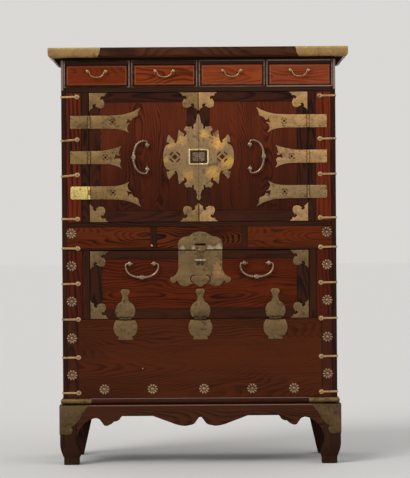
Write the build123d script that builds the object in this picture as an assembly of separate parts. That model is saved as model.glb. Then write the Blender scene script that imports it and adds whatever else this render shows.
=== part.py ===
from build123d import *

import os
from math import cos, hypot, pi, sin

# A Korean chest in two storeys: a row of four drawers over a cupboard with two doors, and below
# it a store room with a drop front. It stands on a low table with horse-hoof legs.
# Millimetres. X runs across the front, -Y points out of the front, Z = 0 is the floor.
# The origin is the middle of the whole chest's footprint.

# ---------------------------------------------------------------- driving dimensions

# carcass
CARCASS_WIDTH = 823.0
CARCASS_DEPTH = 400.0
SIDE_THICKNESS = 14.0
BACK_THICKNESS = 12.0
FRONT_THICKNESS = 22.0  # posts, rails, doors and drop front
SHELF_THICKNESS = 14.0
INFILL_WIDTH = 46.5  # red strip between a side and a jamb
JAMB_WIDTH = 22.0
LOWER_STILE_WIDTH = 32.0
SIDE_STILE_WIDTH = 62.0
SIDE_RAIL_HEIGHT = 48.0
SIDE_PANEL_THICKNESS = 9.0
SIDE_PANEL_RECESS = 2.0
BACK_BOARDS = 4

# storeys, from the bottom upwards
LOWER_PANEL_HEIGHT = 236.5
SEAM = 1.0  # joint round a door, a drawer front or the foot of the drop front
FLAP_HEIGHT = 204.0
FRIEZE_HEIGHT = 83.5
FRIEZE_TOP_RAIL = 15.0
FRIEZE_FOOT_RAIL = 6.5
MUNTIN_WIDTH = 20.0
MUNTIN_X = 136.0
DOOR_HEIGHT = 388.0
DOOR_STOP = 7.0  # height of the cupboard floor behind the doors
DRAWER_RAIL_HEIGHT = 19.0
DRAWER_OPENING_HEIGHT = 64.0
TOP_RAIL_HEIGHT = 20.0
TOP_RAIL_QUIRK = 4.0
DIVIDER_WIDTH = 16.0
DRAWERS = 4
BEAD_WIDTH = 5.0
BEAD_PROUD = 2.0
CORNER_BEAD_WIDTH = 7.0

# top board
TOP_THICKNESS = 30.0
TOP_OVERHANG_SIDE = 36.0
TOP_OVERHANG_FRONT = 30.0
TOP_OVERHANG_BACK = 10.0
TOP_NOSE_RADIUS = 11.5

# stand
STAND_HEIGHT = 179.0
STAND_OVERHANG = 9.5
PLINTH_THICKNESS = 18.0
PLINTH_OVERHANG = 5.5
PLINTH_NOSE_RADIUS = 8.5
PLINTH_QUIRK_HEIGHT = 3.0
PLINTH_QUIRK_DEPTH = 9.0
LEG_WIDTH = 50.0
HOOF_FLARE = 12.5
FOOT_INSET = 11.0
FOOT_HEIGHT = 21.0
REAR_LEG_TOP = 79.0
REAR_LEG_FOOT = 52.0
REAR_LEG_THICKNESS = 45.0
APRON_THICKNESS = 22.0
KNEE_REACH = 144.0
KNEE_DROP = 91.0
SIDE_APRON_FLAT = 26.5
LOBE_REACH = 149.0
BACK_RAIL_HEIGHT = 60.0

# door and flap frames
DOOR_STILE_WIDTH = 33.0
DOOR_TOP_RAIL = 29.0
DOOR_FOOT_RAIL = 33.0
FLAP_STILE_WIDTH = 35.0
FLAP_TOP_RAIL = 25.0
FLAP_FOOT_RAIL = 30.0
PANEL_THICKNESS = 14.0

# drawers
DRAWER_FRONT_THICKNESS = 18.0
DRAWER_LENGTH = 345.0
DRAWER_SIDE_THICKNESS = 8.0
DRAWER_BOTTOM_THICKNESS = 5.0
DRAWER_SIDE_DROP = 8.0  # how far a drawer's side stays below its front
DRAWER_FIELD_MARGIN = 4.0
DRAWER_FIELD_RAISE = 1.5

# brass
PLATE = 2.0  # sheet brass on the front
THIN_PLATE = 1.5  # sheet brass wrapped round edges
CLEARANCE = 0.3  # between a fixed piece and one that turns past it
PIN_CLEARANCE = 0.1
KNUCKLE_RADIUS = 3.8
KNUCKLE_GAP = 0.4
PIN_RADIUS = 1.7
HINGE_HEIGHT = 39.0
HINGE_PITCH = 106.0
FIXED_LEAF_LENGTH = 56.5
LONG_TIP = (157.0, 43.5)  # how far a strap's tip reaches and rises from the hinge's middle
SHORT_TIP = (122.0, 33.0)
EVEN_TIP = (99.5, 35.0)
STRAP_PIERCING = (6.0, 2.2)
STRAP_PIERCING_FROM_TIP = 50.0
CORNER_PLATE_LEG = 56.0
GOURD_INSET = 103.0  # from the drop front's ends to the outer gourds
GOURD_OFFSET = 2.0  # the three were set a little to the right of the middle
GOURD_LOWER_RADIUS = 36.0
GOURD_UPPER_RADIUS = 30.0
GOURD_BARREL_WIDTH = 37.0
DOOR_PLATE_HALF_WIDTH = 106.0
DOOR_PLATE_HALF_HEIGHT = 132.0
DOOR_PLATE_SEAM = 0.6
DOOR_PIERCING = (11.0, 4.0)  # size of a lozenge's square and width of its slots
DOOR_PIERCING_X = 70.0
LOCK_RIM = (58.0, 48.0)
LOCK_RIM_OPENING = (48.0, 37.0)
LOCK_RIM_PROUD = 5.0
LOCK_BOSS = (36.0, 28.0)
LOCK_BOSS_PROUD = 3.5
LOCK_X = 3.0
LOCK_HALF_WIDTH = 66.0
LOCK_UPPER_HEIGHT = 54.0
LOCK_LOWER_HEIGHT = 109.0
HASP_HEIGHT = 44.0
HASP_WIDTH = 30.0
HASP_LIP = 6.0  # reach of the hasp's lip behind the face of the frieze
HASP_BARREL_WIDTH = 34.0
SLOT_ABOVE_SEAM = 9.5  # the slot in the frieze that the hasp's lip goes into
SLOT_HEIGHT = 7.0
STRAP_WIDTH = 5.0
STRAP_THICKNESS = 2.5
STRAP_REACH = 45.5
STRAP_HEAD_RADIUS = 7.0
TOP_STRAP_BELOW_DOOR_TOP = 12.0
FRIEZE_STRAP_ABOVE_DOOR_FOOT = 10.0
FLAP_STRAP_ABOVE_SEAM = 6.5
FOOT_STRAP_ABOVE_BASE = 16.0
LOWER_STRAPS_OFF = 4.0  # how far the middle ones were set from halfway
ROSETTE_RADIUS = 16.5
ROSETTE_LOBES = 8
ROSETTE_SCALLOP = 2.5
ROSETTE_DISC = 2.4
ROSETTE_BOSS_RADIUS = 6.0
BOTTOM_ROSETTES_INSET = 80.5  # from the ends of the lower panel to the outer nails
BOTTOM_ROSETTES_OFF = (-2.0, 0.0, 12.0, 14.0, -3.0)  # how far each was set from an even row
BOTTOM_ROSETTES_RISE = 26.0
LEG_PLATE_WIDTH = 86.0
LEG_PLATE_HEIGHT = 88.0
PLINTH_CAP_LENGTH = 92.0
TOP_CORNER_LENGTH = 158.0

# bail handles
PULL_POST_X = 27.5
PULL_DROP = 18.0
PULL_PROUD = 9.0
PULL_BAR_RADIUS = 1.7
PULL_ABOVE_MIDDLE = 12.5
HANDLE_POST_X = 36.5
HANDLE_HALF_WIDTH = 49.0
HANDLE_DROP = 41.0
HANDLE_PROUD = 12.0
HANDLE_BAR_RADIUS = 2.6
HANDLE_SHOULDER = 9.0  # height of the shoulders over which a large bail is round
HANDLE_KNOB_WIDTH = 12.0
DOOR_HANDLE_X = 154.0
FLAP_HANDLE_X = 172.0
FLAP_HANDLE_BELOW_TOP = 38.5
BAR_SIDES = 8

# ---------------------------------------------------------------- levels and faces

hinge_proud = KNUCKLE_RADIUS + CLEARANCE
leaf_swing = FRONT_THICKNESS + hinge_proud

z_plinth = STAND_HEIGHT + PLINTH_QUIRK_HEIGHT
z_base = z_plinth + PLINTH_THICKNESS
z_flap_seam = z_base + LOWER_PANEL_HEIGHT
z_flap = z_flap_seam + SEAM
z_flap_axis = z_flap + 0.5 * SEAM
z_flap_top = z_flap + FLAP_HEIGHT
# the flap's back edge rises as it swings down, so the joint above it is that much wider
z_frieze = z_flap_top + hypot(FLAP_HEIGHT, leaf_swing) - FLAP_HEIGHT + CLEARANCE
z_frieze_top = z_frieze + FRIEZE_HEIGHT
z_door = z_frieze_top + SEAM
z_door_top = z_door + DOOR_HEIGHT
z_door_middle = (z_door + z_door_top) / 2
z_rail = z_door_top + SEAM
z_drawer = z_rail + DRAWER_RAIL_HEIGHT
z_top_rail = z_drawer + DRAWER_OPENING_HEIGHT
z_board = z_top_rail + TOP_RAIL_HEIGHT
z_top = z_board + TOP_THICKNESS

depth = THIN_PLATE + TOP_OVERHANG_FRONT + CARCASS_DEPTH + TOP_OVERHANG_BACK
y_lip = THIN_PLATE - depth / 2
y_front = y_lip + TOP_OVERHANG_FRONT
y_behind = y_front + FRONT_THICKNESS
y_back = y_front + CARCASS_DEPTH
y_back_board = y_back - BACK_THICKNESS
y_stand = y_front - STAND_OVERHANG

x_side = CARCASS_WIDTH / 2
x_inner = x_side - SIDE_THICKNESS
x_jamb = x_inner - INFILL_WIDTH
x_opening = x_jamb - JAMB_WIDTH
x_stand = x_side + STAND_OVERHANG
x_door_edge = x_opening - SEAM
x_door_axis = x_opening - SEAM / 2
# the doors' back edges swing outwards a little, so they meet at a joint that lets them pass
door_joint = hypot(x_door_edge, leaf_swing) - x_door_edge + CLEARANCE

# ---------------------------------------------------------------- shared shapes

FRONT_PLANE = Plane(origin=(0, 0, 0), x_dir=(1, 0, 0), z_dir=(0, -1, 0))


def board(x0, x1, y0, y1, z0, z1):
    """A rectangular board between two corners."""
    return Pos((x0 + x1) / 2, (y0 + y1) / 2, (z0 + z1) / 2) * Box(x1 - x0, y1 - y0, z1 - z0)


def shape(*points):
    """A flat face with straight edges, drawn in two dimensions."""
    return make_face(Polyline(*points, close=True))


def flipped(points):
    """The same points mirrored left to right, in the order that closes an outline."""
    return [(-x, y) for x, y in reversed(points)]


def on_front(sketch, thickness, x=0.0, z=0.0, proud=0.0):
    """A sheet of the sketch's outline on the face of the chest, standing out towards -Y."""
    return extrude(Pos(x, y_front - proud, z) * (FRONT_PLANE * sketch), thickness)


def both_sides(solid):
    """A piece and its mirror image on the other side of the chest."""
    return [solid, mirror(solid, about=Plane.YZ)]


def framed(x0, x1, z0, z1, stile, top_rail, foot_rail):
    """Two stiles with two rails between them, and the panel that they hold flush."""
    y0, y1 = y_front, y_behind
    frame = [
        board(x0, x0 + stile, y0, y1, z0, z1),
        board(x1 - stile, x1, y0, y1, z0, z1),
        board(x0 + stile, x1 - stile, y0, y1, z0, z0 + foot_rail),
        board(x0 + stile, x1 - stile, y0, y1, z1 - top_rail, z1),
    ]
    panel = board(x0 + stile, x1 - stile, y0, y0 + PANEL_THICKNESS, z0 + foot_rail, z1 - top_rail)
    return frame, [panel]


def knuckle_span(width, index):
    """Where one of a hinge's three knuckles starts and ends along the barrel."""
    pitch = (width + KNUCKLE_GAP) / 3
    start = index * pitch - width / 2
    return start, start + pitch - KNUCKLE_GAP


def rod(section, start, end):
    """A straight rod along X."""
    return extrude(Pos(start, 0, 0) * (Plane.YZ * section), end - start)


def outer_knuckles(width):
    """The two end knuckles of a hinge along X, made in one with its round pin."""
    barrels = [rod(RegularPolygon(KNUCKLE_RADIUS, BAR_SIDES), *knuckle_span(width, i)) for i in (0, 2)]
    return Part() + barrels + rod(Circle(PIN_RADIUS), -width / 3, width / 3)


def pin_bore(width):
    """The hole that the pin turns in: folded sheet leaves flats, which clear the round pin."""
    section = RegularPolygon(PIN_RADIUS + PIN_CLEARANCE, BAR_SIDES, major_radius=False)
    return rod(section, -width / 2, width / 2)


def middle_knuckle(width):
    """The knuckle that turns on the pin."""
    return rod(RegularPolygon(KNUCKLE_RADIUS, BAR_SIDES), *knuckle_span(width, 1)) - pin_bore(width)


def bar(points, radius):
    """A forged bar of BAR_SIDES flats, bent along points in the XZ plane, with square ends."""
    path = Polyline(*[(x, 0, z) for x, z in points])
    start = Plane(origin=path @ 0, z_dir=path % 0, x_dir=(0, 1, 0))
    turned = Rot(0, 0, 180 / BAR_SIDES)
    section = start * turned * RegularPolygon(radius, BAR_SIDES)
    return sweep(section, path, transition=Transition.RIGHT)


parts = {}

# ---------------------------------------------------------------- top board


def top_board():
    """A thick board with its lower edge rounded at the front and the ends."""
    x1 = x_side + TOP_OVERHANG_SIDE
    slab = board(-x1, x1, y_lip, y_back + TOP_OVERHANG_BACK, z_board, z_top)
    lower = slab.edges().group_by(Axis.Z)[0].sort_by(Axis.Y)[:-1]
    return fillet(lower, TOP_NOSE_RADIUS)


def top_corner_plates():
    """Brass bent round the front corners of the top board, with a stepped end."""
    x1 = x_side + TOP_OVERHANG_SIDE + THIN_PLATE
    outer = board(-x1, x1, y_lip - THIN_PLATE, y_back, z_board - THIN_PLATE, z_top)
    lower = outer.edges().group_by(Axis.Z)[0].sort_by(Axis.Y)[:-1]
    shell = fillet(lower, TOP_NOSE_RADIUS + THIN_PLATE) - top_board()
    step = TOP_NOSE_RADIUS
    length = TOP_CORNER_LENGTH
    end = shape(
        (0, z_top),
        (length, z_top),
        (length, z_board + step + 6),
        (length - step, z_board),
        (0, z_board),
    )
    along_front = extrude(FRONT_PLANE * mirror(end, about=Plane.YZ), depth, both=True)
    corner = Pos(x1, 0, 0) * along_front
    along_side = extrude(Pos(0, y_lip - THIN_PLATE, 0) * (Plane.YZ * end), 2 * x1)
    return both_sides(shell & corner & along_side)


parts["top_board"] = [top_board()]
parts["top_corner_plates"] = top_corner_plates()

# ---------------------------------------------------------------- carcass


def side():
    """One framed side: two stiles and three rails, and the two panels sunk between them."""
    y0, y1 = y_front + SIDE_STILE_WIDTH, y_back - SIDE_STILE_WIDTH
    frame = [
        board(x_inner, x_side, y_front, y0, z_base, z_board),
        board(x_inner, x_side, y1, y_back, z_base, z_board),
    ]
    rails = [
        (z_base, z_base + SIDE_RAIL_HEIGHT),
        (z_frieze, z_frieze_top),
        (z_board - SIDE_RAIL_HEIGHT, z_board),
    ]
    frame += [board(x_inner, x_side, y0, y1, low, high) for low, high in rails]
    outer = x_side - SIDE_PANEL_RECESS
    panels = [
        board(outer - SIDE_PANEL_THICKNESS, outer, y0, y1, lower[1], upper[0])
        for lower, upper in zip(rails, rails[1:])
    ]
    return frame, panels


side_frame, side_panels = side()
parts["side_right"] = side_frame
parts["side_left"] = [mirror(piece, about=Plane.YZ) for piece in side_frame]
parts["side_panels"] = [both for piece in side_panels for both in both_sides(piece)]

back_board_height = (z_board - z_base) / BACK_BOARDS
back_board_feet = [z_base + i * back_board_height for i in range(BACK_BOARDS)]
parts["back_boards"] = [
    board(-x_inner, x_inner, y_back_board, y_back, foot, foot + back_board_height)
    for foot in back_board_feet
]

shelf_tops = (z_base + SHELF_THICKNESS, z_door + DOOR_STOP, z_drawer)
parts["shelves"] = [
    board(-x_inner, x_inner, y_behind, y_back_board, top - SHELF_THICKNESS, top) for top in shelf_tops
]

# ---------------------------------------------------------------- front frame

jamb_spans = ((z_flap_seam, z_frieze), (z_frieze_top, z_rail))
jambs = [board(x_opening, x_jamb, y_front, y_behind, low, high) for low, high in jamb_spans]
lower_stile = board(x_inner - LOWER_STILE_WIDTH, x_inner, y_front, y_behind, z_base, z_flap_seam)
parts["front_posts"] = [both for post in jambs + [lower_stile] for both in both_sides(post)]

infills = [board(x_jamb, x_inner, y_front, y_behind, low, high) for low, high in jamb_spans]
parts["post_infills"] = [both for infill in infills for both in both_sides(infill)]

x_lower_panel = x_inner - LOWER_STILE_WIDTH
parts["lower_panel"] = [board(-x_lower_panel, x_lower_panel, y_front, y_behind, z_base, z_flap_seam)]


def drawer_openings():
    """The left and right edge of each drawer's opening."""
    width = (2 * x_inner - (DRAWERS - 1) * DIVIDER_WIDTH) / DRAWERS
    starts = [-x_inner + i * (width + DIVIDER_WIDTH) for i in range(DRAWERS)]
    return [(start, start + width) for start in starts]


def drawer_frame():
    """The rails and dividers round the drawers, with a bead laid round each opening."""
    top_rail = board(-x_inner, x_inner, y_front, y_behind, z_top_rail, z_board)
    quirk = board(-x_inner, x_inner, y_front, y_front + TOP_RAIL_QUIRK, z_board - TOP_RAIL_QUIRK, z_board)
    pieces = [
        board(-x_inner, x_inner, y_front, y_behind, z_rail, z_drawer),
        top_rail - quirk,
    ]
    openings = drawer_openings()
    for left, right in zip(openings, openings[1:]):
        pieces.append(board(left[1], right[0], y_front, y_behind, z_drawer, z_top_rail))
    for x0, x1 in openings:
        width, middle = x1 - x0, (z_drawer + z_top_rail) / 2
        ring = Rectangle(width + 2 * BEAD_WIDTH, DRAWER_OPENING_HEIGHT + 2 * BEAD_WIDTH)
        ring -= Rectangle(width, DRAWER_OPENING_HEIGHT)
        pieces.append(on_front(ring, BEAD_PROUD, (x0 + x1) / 2, middle))
    margin = BEAD_WIDTH + BEAD_PROUD
    chamfer_width = BEAD_PROUD * 0.75
    bead = shape(
        (0, 0),
        (-CORNER_BEAD_WIDTH, 0),
        (chamfer_width - CORNER_BEAD_WIDTH, -BEAD_PROUD),
        (-chamfer_width, -BEAD_PROUD),
    )
    upright = extrude(Pos(x_side, y_front, z_rail + margin) * bead, z_board - z_rail - 2 * margin)
    return pieces + both_sides(upright)


parts["drawer_frame"] = drawer_frame()
parts["drawer_partitions"] = [
    board(left[1], right[0], y_behind, y_back_board, z_drawer, z_board)
    for left, right in zip(drawer_openings(), drawer_openings()[1:])
]

# ---------------------------------------------------------------- frieze

z_slot_low = z_frieze + SLOT_ABOVE_SEAM
z_slot_high = z_slot_low + SLOT_HEIGHT
z_hasp_axis = z_slot_low + SLOT_HEIGHT / 2 - HASP_HEIGHT
x_slot = HASP_WIDTH / 2 + 1.0


def frieze():
    """Rails and muntins, and the three panels between them, with the hasp's mortise."""
    z0, z1 = z_frieze + FRIEZE_FOOT_RAIL, z_frieze_top - FRIEZE_TOP_RAIL
    x0, x1 = MUNTIN_X - MUNTIN_WIDTH / 2, MUNTIN_X + MUNTIN_WIDTH / 2
    frame = [
        board(-x_inner, x_inner, y_front, y_behind, z_frieze, z0),
        board(-x_inner, x_inner, y_front, y_behind, z1, z_frieze_top),
    ]
    frame += both_sides(board(x0, x1, y_front, y_behind, z0, z1))
    y_mortise = y_front + HASP_LIP + PLATE
    mortise = board(LOCK_X - x_slot, LOCK_X + x_slot, y_front, y_mortise, z_slot_low, z_slot_high)
    centre = board(-x0, x0, y_front, y_behind, z0, z1) - mortise
    return frame, [centre] + both_sides(board(x1, x_inner, y_front, y_behind, z0, z1))


parts["frieze_frame"], parts["frieze_panels"] = frieze()

# ---------------------------------------------------------------- stand

y_plinth = y_front - PLINTH_OVERHANG
x_plinth = x_side + PLINTH_OVERHANG


def plinth(grow=0.0):
    """The moulding board under the carcass, rounded at the front and the ends."""
    slab = board(-x_plinth - grow, x_plinth + grow, y_plinth - grow, y_back, z_plinth - grow, z_base + grow)
    groups = slab.edges().group_by(Axis.Z)
    edges = groups[0].sort_by(Axis.Y)[:-1] + groups[-1].sort_by(Axis.Y)[:-1]
    return fillet(edges, PLINTH_NOSE_RADIUS + grow)


def base_moulding():
    """The moulding board on its narrower under-board, which leaves a shadow line."""
    inset = PLINTH_QUIRK_DEPTH
    under = board(-x_plinth + inset, x_plinth - inset, y_plinth + inset, y_back, STAND_HEIGHT, z_plinth)
    return plinth() + under


def plinth_caps():
    """Brass caps bent over the moulding's front corners."""
    length = PLINTH_CAP_LENGTH + THIN_PLATE
    x1, y1 = x_plinth + THIN_PLATE, y_plinth - THIN_PLATE
    keep = board(x1 - length, x1, y1, y1 + length, z_plinth, z_base)
    keep -= board(0, x_side, y_front, y_back, z_plinth - 1, z_base + 1)
    return both_sides((plinth(THIN_PLATE) - plinth()) & keep)


parts["base_moulding"] = [base_moulding()]
parts["plinth_caps"] = plinth_caps()


def knee(reach):
    """The lower edge of an apron from a leg outwards: the knee, a cusp and a small lobe.
    Distances are in 24ths of the reach, and heights in 30ths of the drop at the leg."""
    curve = [(0, 30), (1, 27), (2, 23), (4, 18), (8, 13), (10.5, 13)]
    cusp = [(12, 15), (13.5, 19), (14.5, 20), (16.5, 20)]
    lobe = [(18, 17), (19, 16), (20.5, 16), (21.5, 14), (22.5, 11), (24, 10)]
    return [(across * reach / 24, apron_level(drop)) for across, drop in curve + cusp + lobe]


def apron_level(drop):
    """The height of a point of an apron's edge, given in 30ths of the drop at the leg."""
    return STAND_HEIGHT - drop * KNEE_DROP / 30


def front_apron():
    """The front apron: a knee and a cusp at each leg, and a double lobe in the middle."""
    x_leg = x_stand - LEG_WIDTH
    lobes = ((30, 10), (27, 12), (17, 18), (12.5, 20), (9, 21), (4, 19), (1.6, 14))
    half = [(x_leg - across, z) for across, z in knee(KNEE_REACH)]
    half += [(across * LOBE_REACH / 30, apron_level(drop)) for across, drop in lobes]
    lower = half + [(0, apron_level(12))] + flipped(half)
    outline = shape((x_leg, STAND_HEIGHT), *lower, (-x_leg, STAND_HEIGHT))
    return extrude(Pos(0, y_stand, 0) * (FRONT_PLANE * outline), -APRON_THICKNESS)


def side_apron():
    """A side apron, with a knee at both legs and a straight middle."""
    y0, y1 = y_stand + LEG_WIDTH, y_back - REAR_LEG_THICKNESS
    edge = knee((y1 - y0 - SIDE_APRON_FLAT) / 2)
    front_knee = [(y0 + across, z) for across, z in edge]
    rear_knee = [(y1 - across, z) for across, z in reversed(edge)]
    outline = shape((y0, STAND_HEIGHT), *front_knee, *rear_knee, (y1, STAND_HEIGHT))
    return extrude(Pos(x_stand, 0, 0) * (Plane.YZ * outline), -APRON_THICKNESS)


x_rear_leg = x_stand - REAR_LEG_TOP
z_back_rail = STAND_HEIGHT - BACK_RAIL_HEIGHT
back_rail = board(-x_rear_leg, x_rear_leg, y_back - APRON_THICKNESS, y_back, z_back_rail, STAND_HEIGHT)
parts["aprons"] = [front_apron(), back_rail] + both_sides(side_apron())


def hoof_profile():
    """A horse-hoof leg from one side, measured inwards from its outer face at zero."""
    toe = LEG_WIDTH + HOOF_FLARE
    heel = FOOT_INSET
    return make_face(
        [
            Line((0, STAND_HEIGHT), (0, 62)),
            ThreePointArc((0, 62), (3.5, 41), (heel, FOOT_HEIGHT)),
            Line((heel, FOOT_HEIGHT), (heel, 0)),
            Line((heel, 0), (toe - 6, 0)),
            Line((toe - 6, 0), (toe - 6, FOOT_HEIGHT)),
            ThreePointArc((toe - 6, FOOT_HEIGHT), (toe, 34), (toe - 5, 48)),
            ThreePointArc((toe - 5, 48), (LEG_WIDTH + 1.5, 60), (LEG_WIDTH, 78)),
            Line((LEG_WIDTH, 78), (LEG_WIDTH, STAND_HEIGHT)),
            Line((LEG_WIDTH, STAND_HEIGHT), (0, STAND_HEIGHT)),
        ]
    )


def front_leg():
    """The same hoof profile cut from the front and from the side of one post."""
    profile = hoof_profile()
    reach = LEG_WIDTH + HOOF_FLARE
    across = extrude(Pos(x_stand, y_stand, 0) * (FRONT_PLANE * mirror(profile, about=Plane.YZ)), -reach)
    along = extrude(Pos(x_stand, y_stand, 0) * (Plane.YZ * profile), -reach)
    return across & along


def rear_leg():
    """A plain tapered board."""
    outline = shape(
        (x_stand, STAND_HEIGHT),
        (x_rear_leg, STAND_HEIGHT),
        (x_rear_leg, z_back_rail),
        (x_stand - REAR_LEG_FOOT, 0),
        (x_stand, 0),
    )
    return extrude(Pos(0, y_back, 0) * (FRONT_PLANE * outline), REAR_LEG_THICKNESS)


parts["legs"] = both_sides(front_leg()) + both_sides(rear_leg())


def leg_plate():
    """Brass folded round a front leg, cut to a leaf at the foot of both faces."""
    w, h = LEG_PLATE_WIDTH, LEG_PLATE_HEIGHT
    slope = [(0, 0), (w, 0), (w - 11, 16), (w - 23, 31), (w - 32, 46), (w - 42, 58), (w - 53, 64)]
    lobe = [(w - 48, 70), (w - 49, 80), (w - 59, h - 1), (0, h)]
    leaf = shape(*[(-across, STAND_HEIGHT - drop) for across, drop in slope + lobe])
    t = THIN_PLATE
    corner = board(x_stand, x_stand + t, y_stand - t, y_stand, STAND_HEIGHT - h, STAND_HEIGHT)
    on_face = extrude(Pos(x_stand, y_stand, 0) * (FRONT_PLANE * leaf), t)
    on_end = extrude(Pos(x_stand, y_stand, 0) * (Plane.YZ * mirror(leaf, about=Plane.YZ)), t)
    return on_face + on_end + corner


parts["leg_plates"] = both_sides(leg_plate())

# ---------------------------------------------------------------- brass on the carcass


def corner_strap():
    """A strap bent round the chest's front edge, with a pointed head at both ends."""
    r, half = STRAP_HEAD_RADIUS, STRAP_WIDTH / 2
    neck = [(0, half), (r - STRAP_REACH, half), (r / 2 - STRAP_REACH, r), (-r / 2 - STRAP_REACH, r)]
    tip = [(-STRAP_REACH - 1.6 * r, 0)]
    arm = shape(*neck, *tip, *[(x, -z) for x, z in reversed(neck)])
    across = extrude(FRONT_PLANE * arm, STRAP_THICKNESS)
    along = extrude(Plane.YZ * mirror(arm, about=Plane.YZ), STRAP_THICKNESS)
    t = STRAP_THICKNESS
    fold = board(0, t, -t, 0, -STRAP_WIDTH / 2, STRAP_WIDTH / 2)
    return Pos(x_side, y_front, 0) * (across + along + fold)


hinge_levels = [z_door_middle + i * HINGE_PITCH for i in (1, 0, -1)]
upper_straps = [
    z_door_top - TOP_STRAP_BELOW_DOOR_TOP,
    (hinge_levels[0] + hinge_levels[1]) / 2,
    (hinge_levels[1] + hinge_levels[2]) / 2,
    z_door + FRIEZE_STRAP_ABOVE_DOOR_FOOT,
]
foot_strap = z_base + FOOT_STRAP_ABOVE_BASE
lower_straps = [
    z_frieze + FLAP_STRAP_ABOVE_SEAM,
    (z_flap + z_flap_top) / 2 + LOWER_STRAPS_OFF,
    z_flap_seam,
    (z_flap_seam + foot_strap) / 2 - LOWER_STRAPS_OFF,
    foot_strap,
]
strap = corner_strap()
parts["corner_straps"] = [
    both for level in upper_straps + lower_straps for both in both_sides(Pos(0, 0, level) * strap)
]


def rosette():
    """A cast flower-head nail: a scalloped disc with a raised boss."""
    steps = 2 * ROSETTE_LOBES
    radii = [ROSETTE_RADIUS, ROSETTE_RADIUS - ROSETTE_SCALLOP]
    rim = [
        (radii[i % 2] * cos(2 * pi * i / steps), radii[i % 2] * sin(2 * pi * i / steps))
        for i in range(steps)
    ]
    disc = extrude(FRONT_PLANE * shape(*rim), ROSETTE_DISC, taper=35)
    boss = Pos(0, -ROSETTE_DISC, 0) * (FRONT_PLANE * RegularPolygon(ROSETTE_BOSS_RADIUS, 6))
    return disc + extrude(boss, ROSETTE_DISC, taper=40)


rosette_column = [upper_straps[-1]] + lower_straps
rosette_levels = [(high + low) / 2 for high, low in zip(rosette_column, rosette_column[1:])]
rosette_x = (x_jamb + x_side) / 2 + 2
rosette_places = [(side_x, level) for level in rosette_levels for side_x in (-rosette_x, rosette_x)]
row = range(len(BOTTOM_ROSETTES_OFF))
pitch = 2 * (x_lower_panel - BOTTOM_ROSETTES_INSET) / (len(row) - 1)
row_x = [BOTTOM_ROSETTES_OFF[i] + (i - (len(row) - 1) / 2) * pitch for i in row]
rosette_places += [(x, z_base + BOTTOM_ROSETTES_RISE) for x in row_x]
flower = rosette()
parts["rosettes"] = [Pos(x, y_front, z) * flower for x, z in rosette_places]

# ---------------------------------------------------------------- door hinges


def hinge_tabs(places):
    """The strips of sheet that run into the named knuckles of a door hinge."""
    tabs = Sketch()
    for index in places:
        low, high = knuckle_span(HINGE_HEIGHT, index)
        tabs += Pos(0, (low + high) / 2) * Rectangle(2 * hinge_proud, high - low)
    return tabs


def fixed_leaf():
    """The short leaf on the jamb, drawn for the right door with the hinge line at zero."""
    start = hinge_proud
    leaf = Pos((start + FIXED_LEAF_LENGTH) / 2, 0) * Rectangle(FIXED_LEAF_LENGTH - start, HINGE_HEIGHT)
    tabs = hinge_tabs((0, 2)) & (Pos(start, 0) * Rectangle(2 * start, 2 * HINGE_HEIGHT))
    plate = extrude(FRONT_PLANE * (leaf + tabs), PLATE)
    return plate + Pos(0, -hinge_proud, 0) * Rot(0, 90, 0) * outer_knuckles(HINGE_HEIGHT)


def strap_end(length, rise):
    """Half of a strap's spread end, from the straight part out to its tip and back to the middle."""
    half = HINGE_HEIGHT / 2
    return [
        (length - 88, half),
        (length - 50, half + 0.18 * (rise - half)),
        (length - 22, half + 0.5 * (rise - half)),
        (length, rise),
        (length - 6, rise - 12),
        (length - 8, rise - 28),
    ]


def lozenge(size, slot):
    """A pierced lozenge: a small square on its corner with a slot along each side."""
    centre = Rot(0, 0, 45) * Rectangle(size, size)
    slots = [
        Rot(0, 0, 45 + 90 * i) * Pos(size, 0) * Rectangle(slot, size * 1.1) for i in range(4)
    ]
    return centre + slots


def strap_leaf(upper, lower):
    """A strap on the right door, its hinge line at zero, from the (length, rise) of both tips."""
    start = hinge_proud
    middle = (min(upper[0], lower[0]) - 14, 0)
    end = strap_end(*upper) + [middle] + [(x, -z) for x, z in reversed(strap_end(*lower))]
    half = HINGE_HEIGHT / 2
    outline = shape((start, half), *end, (start, -half))
    tab = hinge_tabs((1,)) & (Pos(start, 0) * Rectangle(2 * start, 2 * HINGE_HEIGHT))
    x_pierced = min(upper[0], lower[0]) - STRAP_PIERCING_FROM_TIP
    pierced = Pos(x_pierced, 0) * lozenge(*STRAP_PIERCING)
    sheet = extrude(FRONT_PLANE * mirror(outline + tab - pierced, about=Plane.YZ), PLATE)
    return sheet + Pos(0, -hinge_proud, 0) * Rot(0, 90, 0) * middle_knuckle(HINGE_HEIGHT)


strap_tips = ((LONG_TIP, SHORT_TIP), (EVEN_TIP, EVEN_TIP), (SHORT_TIP, LONG_TIP))

parts["door_hinge_leaves"] = [
    both
    for level in hinge_levels
    for both in both_sides(Pos(x_door_axis, y_front, level) * fixed_leaf())
]
right_straps = [
    Pos(x_door_axis, y_front, level) * strap_leaf(*tips)
    for level, tips in zip(hinge_levels, strap_tips)
]

# ---------------------------------------------------------------- corner plates


def corner_plate():
    """Sheet brass for a corner, cut back to a lobe between two hooks, its corner at zero."""
    leg = CORNER_PLATE_LEG
    hook = [(leg, 0), (leg - 9, 9), (leg - 18, 13), (leg - 13, 20), (leg - 9, 31)]
    lobe = (leg - 13, leg - 13)
    other_hook = [(y, x) for x, y in reversed(hook)]
    return shape((0, 0), *hook, lobe, *other_hook)


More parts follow.
